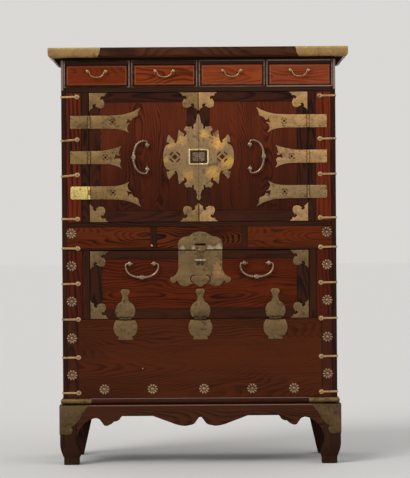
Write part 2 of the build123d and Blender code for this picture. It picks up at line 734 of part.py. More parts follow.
def corner_plates(x0, x1, z0, z1):
    """The four corner plates of a door or flap."""
    plates = []
    for x, turn_x in ((x0, 0), (x1, 180)):
        for z, turn_z in ((z0, 0), (z1, 180)):
            sheet = Rot(turn_z, turn_x, 0) * corner_plate()
            plates.append(Pos(x, y_front, z) * (FRONT_PLANE * sheet))
    return [extrude(sheet, PLATE, dir=(0, -1, 0)) for sheet in plates]


# ---------------------------------------------------------------- bail handles


def post_radius(bar_radius):
    """A post's head leaves a wall of about the bar's own radius round the hole."""
    return 2 * bar_radius + CLEARANCE


def handle_posts(spacing, proud, bar_radius):
    """Two posts on domed feet, bored across for a bail's ends."""
    head = post_radius(bar_radius)
    foot = extrude(FRONT_PLANE * RegularPolygon(1.5 * head, BAR_SIDES), 1.8, taper=40)
    stem = extrude(FRONT_PLANE * RegularPolygon(head, BAR_SIDES), proud + 0.8 * head)
    hole = rod(RegularPolygon(bar_radius + CLEARANCE, BAR_SIDES, major_radius=False), -head, head)
    post = foot + stem - Pos(0, -proud, 0) * hole
    return [Pos(x, 0, 0) * post for x in (-spacing, spacing)]


def pull_bail():
    """A drawer's small bail: its ends turn outwards into the posts."""
    beside = PULL_POST_X - post_radius(PULL_BAR_RADIUS) - PULL_BAR_RADIUS - CLEARANCE
    half = [
        (PULL_POST_X + post_radius(PULL_BAR_RADIUS), 0),
        (beside, 0),
        (beside - 0.5, -7),
        (beside - 7, -14.5),
    ]
    return bar(half + [(0, -PULL_DROP)] + flipped(half), PULL_BAR_RADIUS)


def handle_bail():
    """A large bail: it passes outside the posts, and its ends turn inwards through them."""
    steps = 3
    post = post_radius(HANDLE_BAR_RADIUS)
    beside = HANDLE_POST_X + post + HANDLE_BAR_RADIUS + CLEARANCE
    half = [(HANDLE_POST_X - post, 0), (beside, 0)]
    half += [
        (
            HANDLE_HALF_WIDTH * cos(i * pi / 2 / steps),
            -HANDLE_SHOULDER - (HANDLE_DROP - HANDLE_SHOULDER) * sin(i * pi / 2 / steps),
        )
        for i in range(steps)
    ]
    loop = bar(half + [(0, -HANDLE_DROP)] + flipped(half), HANDLE_BAR_RADIUS)
    section = RegularPolygon(HANDLE_BAR_RADIUS * 1.7, BAR_SIDES)
    knob = Rot(0, 90, 0) * extrude(section, HANDLE_KNOB_WIDTH / 2, both=True)
    return loop + Pos(0, 0, -HANDLE_DROP) * knob


big_bail = handle_bail()

# ---------------------------------------------------------------- doors

x_door_inner = door_joint / 2


def door_plate_outline():
    """The right half of the pierced flower plate across the doors' joint, middle at zero."""
    w, h = DOOR_PLATE_HALF_WIDTH, DOOR_PLATE_HALF_HEIGHT
    quarter = [
        (0, h), (7, h - 13), (12, h - 25), (12, h - 33), (17, h - 43), (20, h - 35), (36, h - 36),
        (45, h - 44), (38, h - 56), (46, h - 57), (57, h - 49), (63, h - 61), (63, h - 74),
        (71, h - 87), (73, h - 80), (81, h - 68), (90, h - 62), (w - 7, h - 71), (w - 9, h - 90),
        (w - 13, h - 97), (w - 4, h - 113), (w, h - 128),
    ]
    return quarter + [(x, -z) for x, z in reversed(quarter)]


def door_plate():
    """The flower plate's right half, with half of the raised lock rim and its boss."""
    right_half = Rectangle(DOOR_PLATE_HALF_WIDTH, 2 * DOOR_PLATE_HALF_HEIGHT)
    clip = Pos((DOOR_PLATE_HALF_WIDTH + DOOR_PLATE_SEAM) / 2, 0) * right_half
    sheet = (shape(*door_plate_outline()) & clip) - Pos(DOOR_PIERCING_X, 0) * lozenge(*DOOR_PIERCING)
    rim = Rectangle(*LOCK_RIM) - Rectangle(*LOCK_RIM_OPENING)
    boss = Rectangle(*LOCK_BOSS)
    at = {"x": 0, "z": z_door_middle}
    plate = on_front(sheet, PLATE, **at)
    plate += on_front(rim & clip, LOCK_RIM_PROUD, proud=PLATE, **at)
    plate += on_front(boss & clip, LOCK_BOSS_PROUD, proud=PLATE, **at)
    return plate


door_frame, door_panel = framed(
    x_door_inner, x_door_edge, z_door, z_door_top, DOOR_STILE_WIDTH, DOOR_TOP_RAIL, DOOR_FOOT_RAIL
)
door_handle = Pos(DOOR_HANDLE_X, y_front - HANDLE_PROUD, z_door_middle)
door_posts = [
    Pos(DOOR_HANDLE_X, y_front, z_door_middle) * Rot(0, 90, 0) * post
    for post in handle_posts(HANDLE_POST_X, HANDLE_PROUD, HANDLE_BAR_RADIUS)
]
right_door = {
    "frame": door_frame,
    "panel": door_panel,
    "straps": right_straps,
    "corner_plates": corner_plates(x_door_inner, x_door_edge, z_door, z_door_top),
    "lock_plate": [door_plate()],
    "handle_posts": door_posts,
    "bail": [door_handle * Rot(0, -90, 0) * big_bail],
}
for name, pieces in right_door.items():
    parts[f"door_right_{name}"] = pieces
    parts[f"door_left_{name}"] = [mirror(piece, about=Plane.YZ) for piece in pieces]

# ---------------------------------------------------------------- drop front

flap_frame, flap_panel = framed(
    -x_door_edge, x_door_edge, z_flap, z_flap_top, FLAP_STILE_WIDTH, FLAP_TOP_RAIL, FLAP_FOOT_RAIL
)
parts["flap_frame"] = flap_frame
parts["flap_panel"] = flap_panel
parts["flap_corner_plates"] = corner_plates(-x_door_edge, x_door_edge, z_flap, z_flap_top)

z_flap_handle = z_flap_top - FLAP_HANDLE_BELOW_TOP
flap_posts = handle_posts(HANDLE_POST_X, HANDLE_PROUD, HANDLE_BAR_RADIUS)
parts["flap_handle_posts"] = [
    Pos(x, y_front, z_flap_handle) * post for x in (-FLAP_HANDLE_X, FLAP_HANDLE_X) for post in flap_posts
]
for name, x in (("left", -FLAP_HANDLE_X), ("right", FLAP_HANDLE_X)):
    parts[f"flap_bail_{name}"] = [Pos(x, y_front - HANDLE_PROUD, z_flap_handle) * big_bail]

# ---------------------------------------------------------------- gourd hinges


def gourd_tabs(places, up):
    """The strips of sheet that run into the named knuckles of a gourd hinge."""
    tabs = Sketch()
    reach = hinge_proud + 1
    for index in places:
        left, right = knuckle_span(GOURD_BARREL_WIDTH, index)
        tabs += Pos((left + right) / 2, up * reach / 2) * Rectangle(right - left, reach)
    return tabs


def gourd_lower():
    """The gourd's big bulb and its foot, on the lower panel."""
    r = GOURD_LOWER_RADIUS
    clear = hinge_proud + SEAM / 2
    bulb = Pos(0, -r * 0.75) * Circle(r)
    bulb &= Pos(0, -clear - r) * Rectangle(2 * r, 2 * r)
    foot_top = -1.46 * r
    foot = [(0.5 * r, foot_top), (0.63 * r, foot_top - 11)]
    sheet = bulb + shape(*foot, *flipped(foot)) + (Pos(0, -SEAM) * gourd_tabs((1,), -1))
    knuckle = Pos(0, -hinge_proud, 0) * middle_knuckle(GOURD_BARREL_WIDTH)
    return extrude(FRONT_PLANE * sheet, PLATE) + knuckle


def gourd_upper():
    """The gourd's small bulb and its flared neck, on the flap."""
    r = GOURD_UPPER_RADIUS
    centre = 0.77 * r
    bulb = Pos(0, centre) * Circle(r)
    bulb &= Pos(0, hinge_proud + r * 2) * Rectangle(2 * r, 4 * r)
    half = [
        (16, centre + 0.84 * r),
        (9.5, centre + 1.2 * r),
        (8, centre + 1.47 * r),
        (14, centre + 1.9 * r),
        (9, centre + 2.17 * r),
    ]
    neck = shape(*half, *flipped(half))
    sheet = bulb + neck + gourd_tabs((0, 2), 1)
    barrels = Pos(0, -hinge_proud, 0) * outer_knuckles(GOURD_BARREL_WIDTH)
    return extrude(FRONT_PLANE * sheet, PLATE) + barrels


gourd_places = [
    Pos(GOURD_OFFSET + i * (x_door_edge - GOURD_INSET), y_front, z_flap_axis) for i in (-1, 0, 1)
]
parts["gourd_lower_leaves"] = [place * gourd_lower() for place in gourd_places]
parts["flap_gourd_leaves"] = [place * gourd_upper() for place in gourd_places]

# ---------------------------------------------------------------- lock

hasp_axis_proud = PLATE + KNUCKLE_RADIUS + CLEARANCE
hasp_axis = Pos(LOCK_X, y_front - hasp_axis_proud, z_hasp_axis)


def lock_plate_upper():
    """The lock's domed upper half on the frieze, slotted for the hasp's lip."""
    w, h = LOCK_HALF_WIDTH, LOCK_UPPER_HEIGHT
    half = make_face(
        [
            Line((0, 0), (w, 0)),
            Line((w, 0), (w, h - 33)),
            ThreePointArc((w, h - 33), (w - 8, h - 21), (w - 27, h - 14.5)),
            ThreePointArc((w - 27, h - 14.5), (w - 34, h - 13), (w - 40, h - 9)),
            ThreePointArc((w - 40, h - 9), (14, h - 2.2), (0, h)),
            Line((0, h), (0, 0)),
        ]
    )
    z_middle = (z_slot_low + z_slot_high) / 2 - z_frieze
    slot = Pos(0, z_middle) * Rectangle(2 * x_slot, z_slot_high - z_slot_low)
    return on_front(half + mirror(half, about=Plane.YZ) - slot, PLATE, LOCK_X, z_frieze)


def lock_plate_lower():
    """The lock's lower half on the flap: flared ears, a lobed foot and two curled slits."""
    w, h = LOCK_HALF_WIDTH, LOCK_LOWER_HEIGHT
    half = make_face(
        [
            Line((0, 0), (w, 0)),
            Line((w, 0), (w, -50)),
            ThreePointArc((w, -50), (w + 5, -68), (w + 20, -80)),
            Polyline(
                (w + 20, -80), (w + 26, -85), (w + 20, -95), (w + 10, -97), (w + 3, -88), (w - 2, -95),
                (w - 6, h * -0.96), (w - 22, h * -0.985), (w - 38, h * -0.95), (w - 47, h * -0.91),
                (10, h * -0.955), (0, -h),
            ),
            Line((0, -h), (0, 0)),
        ]
    )
    curl = (Circle(13) - Circle(10)) & (Pos(8, 2) * Rectangle(16, 26))
    slit = Pos(18, -86) * curl
    sheet = half + mirror(half, about=Plane.YZ) - slit - mirror(slit, about=Plane.YZ)
    plate = on_front(sheet, PLATE, LOCK_X, z_flap_top)
    webs = []
    for index in (0, 2):
        left, right = knuckle_span(HASP_BARREL_WIDTH, index)
        webs.append(board(left, right, 0, hasp_axis_proud - PLATE, 1 - KNUCKLE_RADIUS, 0))
    return plate + hasp_axis * (outer_knuckles(HASP_BARREL_WIDTH) + webs)


def hasp():
    """A tapered tongue on the middle knuckle, and the staple riveted behind its tip."""
    left, right = knuckle_span(HASP_BARREL_WIDTH, 1)
    narrow, wide = (right - left) / 2, HASP_WIDTH / 2
    clear = hinge_proud + 1
    half = [
        (narrow, 0),
        (narrow, clear),
        (narrow + 2, clear + 10),
        (wide, HASP_HEIGHT - 14),
        (wide, HASP_HEIGHT),
    ]
    inner_face = PLATE + 2 * CLEARANCE
    at = {"x": LOCK_X, "z": z_hasp_axis, "proud": inner_face}
    tongue = on_front(shape(*half, *flipped(half)), PLATE, **at)
    lip = Pos(0, HASP_HEIGHT - PLATE / 2) * Rectangle(2 * (wide - 1), PLATE)
    staple = on_front(lip, -(inner_face + HASP_LIP), **at)
    knuckle = hasp_axis * middle_knuckle(HASP_BARREL_WIDTH)
    return tongue + knuckle - hasp_axis * pin_bore(HASP_BARREL_WIDTH), staple


parts["lock_plate_upper"] = [lock_plate_upper()]
parts["lock_plate_lower"] = [lock_plate_lower()]
hasp_tongue, hasp_staple = hasp()
parts["hasp"] = [hasp_tongue]
parts["hasp_staple"] = [hasp_staple]

# ---------------------------------------------------------------- drawers


def drawer(x0, x1):
    """A drawer with a raised field on its front, and its box of thin boards behind."""
    x0, x1 = x0 + SEAM, x1 - SEAM
    z0, z1 = z_drawer + SEAM, z_top_rail - SEAM
    y0 = y_front + DRAWER_FRONT_THICKNESS
    y1 = y_front + DRAWER_LENGTH
    front = board(x0, x1, y_front + DRAWER_FIELD_RAISE, y0, z0, z1)
    m = DRAWER_FIELD_MARGIN
    front += board(x0 + m, x1 - m, y_front, y0, z0 + m, z1 - m)
    low, high = z_drawer + CLEARANCE, z1 - DRAWER_SIDE_DROP
    t = DRAWER_SIDE_THICKNESS
    floor_top = low + DRAWER_BOTTOM_THICKNESS
    return [
        front,
        board(x0, x0 + t, y0, y1, low, high),
        board(x1 - t, x1, y0, y1, low, high),
        board(x0 + t, x1 - t, y1 - t, y1, low, high),
        board(x0 + t, x1 - t, y0, y1 - t, low, floor_top),
    ]


z_pull = (z_drawer + z_top_rail) / 2 + PULL_ABOVE_MIDDLE
pull_posts = handle_posts(PULL_POST_X, PULL_PROUD, PULL_BAR_RADIUS)
small_bail = pull_bail()
for number, (x0, x1) in enumerate(drawer_openings(), start=1):
    middle = (x0 + x1) / 2
    parts[f"drawer_{number}"] = drawer(x0, x1)
    parts[f"drawer_{number}_posts"] = [Pos(middle, y_front, z_pull) * post for post in pull_posts]
    parts[f"drawer_{number}_bail"] = [Pos(middle, y_front - PULL_PROUD, z_pull) * small_bail]

# ---------------------------------------------------------------- files

os.makedirs("parts", exist_ok=True)
for name, pieces in parts.items():
    solids = [solid for piece in pieces for solid in piece.solids()]
    export_step(Compound(children=solids) if len(solids) > 1 else solids[0], f"parts/{name}.step")
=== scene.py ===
import math
from functools import partialmethod

import bmesh
import bpy
import numpy as np
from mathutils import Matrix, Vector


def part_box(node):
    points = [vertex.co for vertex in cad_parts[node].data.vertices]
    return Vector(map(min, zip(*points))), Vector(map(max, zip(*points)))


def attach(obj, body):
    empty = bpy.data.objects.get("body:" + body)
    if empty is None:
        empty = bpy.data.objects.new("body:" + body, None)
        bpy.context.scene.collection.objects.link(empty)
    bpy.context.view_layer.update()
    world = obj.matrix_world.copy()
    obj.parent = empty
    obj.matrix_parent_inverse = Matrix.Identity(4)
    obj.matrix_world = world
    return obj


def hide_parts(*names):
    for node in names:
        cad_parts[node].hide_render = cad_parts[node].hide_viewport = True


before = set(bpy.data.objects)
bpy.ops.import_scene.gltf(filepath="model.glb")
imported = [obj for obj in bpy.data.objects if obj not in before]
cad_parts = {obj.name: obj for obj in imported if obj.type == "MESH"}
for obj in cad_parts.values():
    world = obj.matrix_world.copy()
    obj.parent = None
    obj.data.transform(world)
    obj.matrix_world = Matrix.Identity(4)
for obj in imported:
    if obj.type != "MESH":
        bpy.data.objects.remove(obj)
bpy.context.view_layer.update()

# ---- Room
# A wide pale floor under an even pale sky, one broad soft lamp high on the left and a weaker one
# on the right. Polished metal sees the same pale sky as the camera does.
pale, half_floor = (0.70, 0.69, 0.67, 1), 60
room = bpy.context.scene
floor_mesh = bpy.data.meshes.new("floor")
floor_corners = np.array([(-1, -1, 0), (1, -1, 0), (1, 1, 0), (-1, 1, 0)]) * half_floor
floor_mesh.from_pydata(floor_corners.tolist(), [], [(0, 1, 2, 3)])
floor = bpy.data.objects.new("floor", floor_mesh)
room.collection.objects.link(floor)
floor_paint = bpy.data.materials.new("pale floor")
floor_paint.use_nodes = True
floor_sockets = floor_paint.node_tree.nodes["Principled BSDF"].inputs
floor_sockets["Base Color"].default_value = pale
floor_sockets["Roughness"].default_value = 0.9
floor_mesh.materials.append(floor_paint)

for name, strength, spread, (right, away, up) in (
    ("lamp left", 1.5, 0.5, (0.50, 0.70, -0.62)),
    ("lamp right", 0.5, 0.9, (-0.62, 0.72, -0.25)),
):
    lamp = bpy.data.objects.new(name, bpy.data.lights.new(name, "SUN"))
    room.collection.objects.link(lamp)
    lamp.data.energy, lamp.data.angle = strength, spread
    lamp.rotation_euler = (math.atan2(math.hypot(right, away), -up), 0, -math.atan2(right, away))

sky = bpy.data.worlds.new("sky")
sky.use_nodes = True
room.world = sky
nodes, link = sky.node_tree.nodes, sky.node_tree.links.new
lit, seen = nodes["Background"], nodes.new("ShaderNodeBackground")
lit.inputs["Color"].default_value, lit.inputs["Strength"].default_value = (1, 1, 1, 1), 0.62
seen.inputs["Color"].default_value = pale
ray = nodes.new("ShaderNodeLightPath").outputs
share = ray["Is Camera Ray"]
for kind in ("Is Glossy Ray", "Is Transmission Ray"):
    either = nodes.new("ShaderNodeMath")
    either.operation = "MAXIMUM"
    link(share, either.inputs[0])
    link(ray[kind], either.inputs[1])
    share = either.outputs[0]
choice = nodes.new("ShaderNodeMixShader")
for socket, source in zip(choice.inputs, (share, lit.outputs[0], seen.outputs[0])):
    link(source, socket)
link(choice.outputs[0], nodes["World Output"].inputs[0])

camera = bpy.data.objects.new("camera", bpy.data.cameras.new("camera"))
room.collection.objects.link(camera)
camera.location = (0.0175, -7.689, 0.6755)
camera.rotation_euler = (math.pi / 2, math.radians(0.40), 0)
camera.data.sensor_fit, camera.data.sensor_height, camera.data.lens = "VERTICAL", 24, 125.52
camera.data.clip_end = 300
room.camera = camera
room.view_settings.view_transform = "Standard"

# ---- Front legs and rear legs
# Dark stained zelkova. Each front leg is sawn from one post to a horse's hoof on both faces and
# rounded over by hand; the rear legs are plain tapered boards. All are tenoned under the moulding.


def tint(colour, share=1.0):
    """A share of a screen colour, 0 to 255, as the linear colour that a shader takes."""
    light = np.multiply(colour, share) / 255
    return (*np.where(light <= 0.04045, light / 12.92, ((light + 0.055) / 1.055) ** 2.4), 1.0)


class Tone:
    """One socket of a finish. Sums and products of tones become Math nodes."""

    def __init__(self, finish, socket):
        self.finish, self.socket = finish, socket

    def math(self, how, *others):
        return self.finish.node("ShaderNodeMath", dict(enumerate((self, *others))), operation=how)[0]

    __add__ = __radd__ = partialmethod(math, "ADD")
    __sub__ = partialmethod(math, "SUBTRACT")
    __mul__ = __rmul__ = partialmethod(math, "MULTIPLY")
    __truediv__ = partialmethod(math, "DIVIDE")
    __pow__ = partialmethod(math, "POWER")

    def __rsub__(self, other):
        return self * -1 + other


class Finish:
    """A material. node() adds a node and gives its sockets, place() is where the point is and mark()
    what the mesh carries there; shader= sets the sockets that are even."""

    def __init__(self, name, **shader):
        self.material = bpy.data.materials.new(name)
        self.material.use_nodes = True
        self.tree = self.material.node_tree
        self.surface = self.tree.nodes["Principled BSDF"].inputs
        for socket, value in shader.items():
            self.surface[socket.replace("_", " ")].default_value = value

    def join(self, value, socket):
        if isinstance(value, Tone):
            self.tree.links.new(value.socket, socket)
        else:
            socket.default_value = value

    def node(self, kind, inputs, **settings):
        node = self.tree.nodes.new(kind)
        for key, value in settings.items():
            setattr(node, key, value)
        for key, value in inputs.items():
            self.join(value, node.inputs[key])
        return [Tone(self, socket) for socket in node.outputs]

    def place(self):
        return self.node("ShaderNodeTexCoord", {})[3]

    def mark(self, name):
        return self.node("ShaderNodeAttribute", {}, attribute_name=name)[1]

    def split(self, vector):
        return self.node("ShaderNodeSeparateXYZ", {0: vector})

    def cloud(self, vector, stretch, detail, rough, curl=0.0):
        """Noise from 0 to 1, with stretch cells to the metre along each axis."""
        scaled = self.node("ShaderNodeVectorMath", {0: vector, 1: stretch}, operation="MULTIPLY")[0]
        return self.node("ShaderNodeTexNoise", {"Vector": scaled, "Scale": 1.0, "Detail": detail,
                                                "Roughness": rough, "Distortion": curl})[0]

    def step(self, value, low, high):
        """A smooth step from 0 at low to 1 at high."""
        inputs = {0: value, 1: low, 2: high}
        return self.node("ShaderNodeMapRange", inputs, interpolation_type="SMOOTHSTEP")[0]

    def blend(self, share, first, second):
        """A colour that goes from first to second as share goes from 0 to 1."""
        return self.node("ShaderNodeMix", {0: share, 6: first, 7: second}, data_type="RGBA")[2]

    def wear(self, colour, rough, height, depth):
        """Feeds colour, roughness and relief, whose full height is depth metres, to the shader."""
        relief = self.node("ShaderNodeBump", {"Strength": 1.0, "Distance": depth, "Height": height})[0]
        for socket, value in (("Base Color", colour), ("Roughness", rough), ("Normal", relief)):
            self.join(value, self.surface[socket])
        return self.material


def wood(name, light, dark, rings=0.006, curl=0.02, contrast=0.8, gloss=0.42, mottle=0.5,
         worn_to=(128, 100, 78), sheen=0.05, dim=None):
    """Figured wood, solid through each board, from its grain (along, across, deep) in metres.

    The year rings are circles round the tree's heart, r = |(across, deep)| + 0.05 along + noise,
    each darkening slowly and then paling at once; stretched pores, streaks and clouds lie over
    them. Where the mesh's mark is above 0 the wood is painted pale, for wear and for painted
    highlights, and below 0 it is painted dark, for dirt and for painted shadow. From the second
    falloff height down to the first it gets darker, a painted shade where less light falls.
    """
    finish = Finish(name, Specular_IOR_Level=sheen)
    step, blend, grain = finish.step, finish.blend, finish.mark("grain")
    along, across, deep = finish.split(grain)
    worn = finish.split(finish.mark("worn"))[0]
    wander, ripple, wide, streak, pores, clouds, scuffs = (
        finish.cloud(grain, (run, over, over), *look) for run, over, *look in (
            (2.2, 7, 2, 0.45), (11, 40, 2, 0.5), (0.9, 17, 3, 0.6), (6, 170, 3, 0.65),
            (70, 1300, 2, 0.6), (3.5, 11, 3, 0.6), (30, 60, 4, 0.65)))
    heart = (across * across + deep * deep) ** 0.5
    year = (heart + along * 0.05 + (wander - 0.5) * (curl * 4) + (ripple - 0.5) * (curl * 0.12)) / rings
    phase = year.math("FRACT")
    line = (step(phase, 0.25, 0.85) - step(phase, 0.88, 1.0)) * step(wide, 0.28, 0.62)
    pores, scuffs = step(pores, 0.56, 0.74), step(scuffs, 0.64, 0.76)
    share = line * contrast + (streak - 0.5) * 1.1 + pores * 0.3 * contrast + (clouds - 0.5) * mottle * 2
    base = blend(step(share, -0.35, 1.15), tint(light), tint(dark))
    # Above 0 the mark paints the wood pale: wear, and painted highlights on the beads.
    rubbed_and_lit = step(worn + (streak - 0.5) * 0.8 + (clouds - 0.5) * 0.6, 0.55, 1.15)
    base = blend(rubbed_and_lit * 0.6 + scuffs * 0.05, base, tint(worn_to))
    # Painted shade: the doors get darker towards the bottom, where less light falls.
    if dim:
        base = blend(step(finish.split(finish.place())[2], dim[1], dim[0]) * 0.72, base, tint((38, 13, 5)))
    # Below 0 the mark paints the wood dark: dirt on the arrises, and a painted shadow round the drawer
    # fronts.
    dirt_and_shade = step(worn * -1 + (clouds - 0.5) * 0.5, 0.25, 1.0)
    base = blend(dirt_and_shade * 0.75, base, tint((14, 7, 5)))
    rough = streak * 0.22 + pores * 0.2 + scuffs * 0.08 - rubbed_and_lit * 0.08 + (gloss - 0.1)
    height = 1.0 - pores * 0.7 - line * 0.25 + (streak - 0.5) * 0.35
    return finish.wear(base, rough, height, 0.00022)


def lay(name, shells, material, body="carcass", node=None, crease=38):
    """One piece, which rides on body and replaces node, or the node of its own name, from shells
    (points, faces) or (points, faces, grain, mark); the mark stands for wear, dirt, painted
    highlights and painted shadow. Doubled points are merged, so poles close."""
    node = node or name
    points, faces, grain, worn, start = [], [], [], [], 0
    for where, corners, *marks in shells:
        _, first, same = np.unique(np.round(where, 6), axis=0, return_index=True, return_inverse=True)
        same = same.ravel() + start
        for face in corners:
            ring = same[face].tolist()
            ring = [a for a, b in zip(ring, ring[1:] + ring[:1]) if a != b]
            if len(ring) > 2:
                faces.append(ring)
        flow, rub = marks or (0 * where, 0 * where[:, 0])
        points.append(where[first])
        grain.append(flow[first])
        worn.append(rub[first])
        start += len(first)
    mesh = bpy.data.meshes.new(name)
    mesh.from_pydata(np.concatenate(points).tolist(), [], faces)
    for mark, rows in (("grain", np.concatenate(grain)), ("worn", np.repeat(np.concatenate(worn), 3))):
        mesh.attributes.new(mark, "FLOAT_VECTOR", "POINT").data.foreach_set("vector", rows.ravel())
    outward = bmesh.new()
    outward.from_mesh(mesh)
    bmesh.ops.recalc_face_normals(outward, faces=outward.faces)
    outward.to_mesh(mesh)
    outward.free()
    mesh.shade_smooth()
    mesh.set_sharp_from_angle(angle=math.radians(crease))
    mesh.materials.append(material)
    piece = bpy.data.objects.new(name, mesh)
    room.collection.objects.link(piece)
    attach(piece, body)
    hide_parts(node)


def stacked(rings, closed=False):
    """The wall through n rings of k points each, rings[i, j], and a flat face over each end; a
    closed one runs on from the last ring to the first instead."""
    count, size = rings.shape[:2]
    at = np.arange(count * size).reshape(count, size)
    low, high = (at, np.roll(at, -1, 0)) if closed else (at[:-1], at[1:])
    wall = np.stack([low, np.roll(low, -1, 1), np.roll(high, -1, 1), high], -1).reshape(-1, 4).tolist()
    ends = [] if closed else [at[0][::-1].tolist(), at[-1].tolist()]
    return rings.reshape(-1, 3), wall + ends


def upright_rings(x0, x1, y0, y1, z, radius):
    """Level rings round an upright post: each corner is its centre plus radius (cos, sin)."""
    quarter = np.repeat(np.arange(4), 4)
    turn = np.radians(90 * quarter + np.tile([0, 30, 60, 90], 4))
    right, rear = np.isin(quarter, (0, 3)), np.isin(quarter, (0, 1))
    x0, x1, y0, y1, z, radius = (np.broadcast_to(np.asarray(v, float), np.shape(z))[:, None]
                                 for v in (x0, x1, y0, y1, z, radius))
    x = np.where(right, x1 - radius, x0 + radius) + radius * np.cos(turn)
    y = np.where(rear, y1 - radius, y0 + radius) + radius * np.sin(turn)
    return np.stack([x, y, np.broadcast_to(z, x.shape)], -1)


def grained(shell, along, seed, worn=0.0):
    """Gives a shell its grain: board axes (along, across, deep) shifted to a place in the log."""
    points, faces = shell
    log = np.random.default_rng(seed)
    axes = [along, *[axis for axis in (0, 2, 1) if axis != along]]
    grain = points[:, axes] - points[:, axes].mean(0)
    grain += log.uniform(-9, 9), log.uniform(-0.35, 0.35) * np.ptp(grain[:, 1]), log.uniform(0.02, 0.05)
    return points, faces, grain, np.ones(len(points)) * worn


dark_wood = wood("dark stained wood", (56, 28, 15), (22, 11, 7), gloss=0.40)
leg_wood = wood("leg wood", (54, 34, 24), (24, 15, 12), gloss=0.6, sheen=0.0)
stand_lo, stand_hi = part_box("legs")
leg_x, leg_y, rear_y, leg_top = stand_hi.x, stand_lo.y, stand_hi.y, stand_hi.z
leg_wide, rear_wide, rear_deep, floor_ease = 0.050, 0.079, 0.045, 0.0015
height = np.r_[0, floor_ease, np.linspace(0.004, 0.085, 40), np.linspace(0.1, leg_top, 6)]
heel = 0.011 * np.clip((0.062 - height) / 0.041, 0, 1) ** 1.7
calf = leg_wide + 0.0090 * np.clip((0.078 - height) / 0.030, 0, 1) ** 2.4
toe = 0.0625 - 0.0060 * ((height - 0.034) / 0.0135) ** 2
inner = np.where(height > 0.047, calf, np.maximum(toe, 0.0565))
inner = np.convolve(np.pad(inner, 2, mode="edge"), np.ones(5) / 5, "valid")
ease = np.where(height < 0.001, floor_ease, 0)
near, far = heel + ease, inner - ease
front_leg = upright_rings(leg_x - far, leg_x - near, leg_y + near, leg_y + far, height, 0.0035)
level = np.r_[0, floor_ease, 0.119, 0.121, leg_top]
ease = np.where(level < 0.001, floor_ease, 0)
taper = np.interp(level, [0, 0.119, 1], [0.052, rear_wide, rear_wide]) - ease
rear_leg = upright_rings(leg_x - taper, leg_x - ease, rear_y - rear_deep + ease, rear_y - ease, level,
                         0.0025)
legs = [post * (side, 1, 1) for post in (front_leg, rear_leg) for side in (1, -1)]
lay("legs", [grained(stacked(post), 2, seed, 0.25) for seed, post in enumerate(legs)], leg_wood)

# ---- Aprons
# Dark boards sawn to knees, cusps and a double lobe along the lower edge, set flush between the
# legs and glued up under the moulding; the back one is a straight rail.


def flowing(points, closed=False, fine=7):
    """A line through points (x, z), where a third value of 1 marks a sharp corner. Between corners
    it is a cubic Hermite spline over the chord length, with slopes dp / ds."""
    points = [(*point, 0)[:3] for point in points]
    points = points + points[:1] if closed else points
    corners = [i for i, point in enumerate(points) if point[2]]
    out = []
    for start, stop in zip(corners, corners[1:]):
        run = np.array(points[start:stop + 1], float)[:, :2]
        if len(run) == 2:
            out.append(run[:1])
            continue
        s = np.r_[0, np.cumsum(np.hypot(*np.diff(run, axis=0).T))]
        slope = np.gradient(run, s, axis=0)
        t = np.linspace(0, s[-1], fine * (len(run) - 1), endpoint=False)
        i = np.clip(np.searchsorted(s, t, side="right") - 1, 0, len(run) - 2)
        h = (s[i + 1] - s[i])[:, None]
        u = (t - s[i])[:, None] / h
        out.append((2 * u**3 - 3 * u**2 + 1) * run[i] + (u**3 - 2 * u**2 + u) * h * slope[i]
                   + (3 * u**2 - 2 * u**3) * run[i + 1] + (u**3 - u**2) * h * slope[i + 1])
    return np.concatenate(out if closed else [*out, [points[-1][:2]]])


def apron(across, low, face, thick=0.022):
    """A board between a shaped lower edge low(across) and the legs' top: at each station across,
    a ring (deep, z) runs down the face, round the eased arris and up the back."""
    ease = 0.0025
    turn = np.radians([0, 22, 45, 68, 90])
    into = math.copysign(1, -face)
    low = low[:, None]
    top = 0 * low + leg_top
    up = np.c_[top, top - 0.005, low + ease * (1 - np.sin(turn)), low + 0 * turn, top]
    deep = np.r_[0, 0, ease * (1 - np.cos(turn)), np.linspace(ease, thick, 6)[1:], thick]
    return np.stack(np.broadcast_arrays(across[:, None], face + into * deep, up), -1)


def knee(reach):
    """The lower edge from a leg outwards, as (distance, -drop), scaled to the reach of the knee."""
    shape = [(0, 91, 1), (3, 83), (9, 72), (20, 58), (33, 47), (48, 40), (60, 38.5), (69, 42, 1),
             (75, 50), (84, 61), (93, 61.5, 1), (104, 56), (112, 49, 1), (120, 48), (129, 43, 1),
             (135, 34), (144, 30.3, 1)]
    return [(x * reach / 144, -drop, *mark) for x, drop, *mark in shape]


half_leg = leg_x - leg_wide
edge = [(half_leg * 1000 - x, *rest) for x, *rest in knee(144)]
edge += [(149, -30.3, 1), (134, -36), (110, -45), (84, -54.6, 1), (78, -57), (62, -61.5), (45, -63.7, 1),
         (36, -62), (20, -57.6), (8, -43, 1), (4, -38), (0, -36.4, 1)]
edge = flowing(edge) / 1000 + (0, leg_top)
across = np.unique(np.r_[edge[:, 0], np.linspace(0.0, half_leg, 160)])
low = np.interp(across, edge[::-1, 0], edge[::-1, 1])
front_apron = apron(np.r_[-across[:0:-1], across], np.r_[low[:0:-1], low], leg_y)

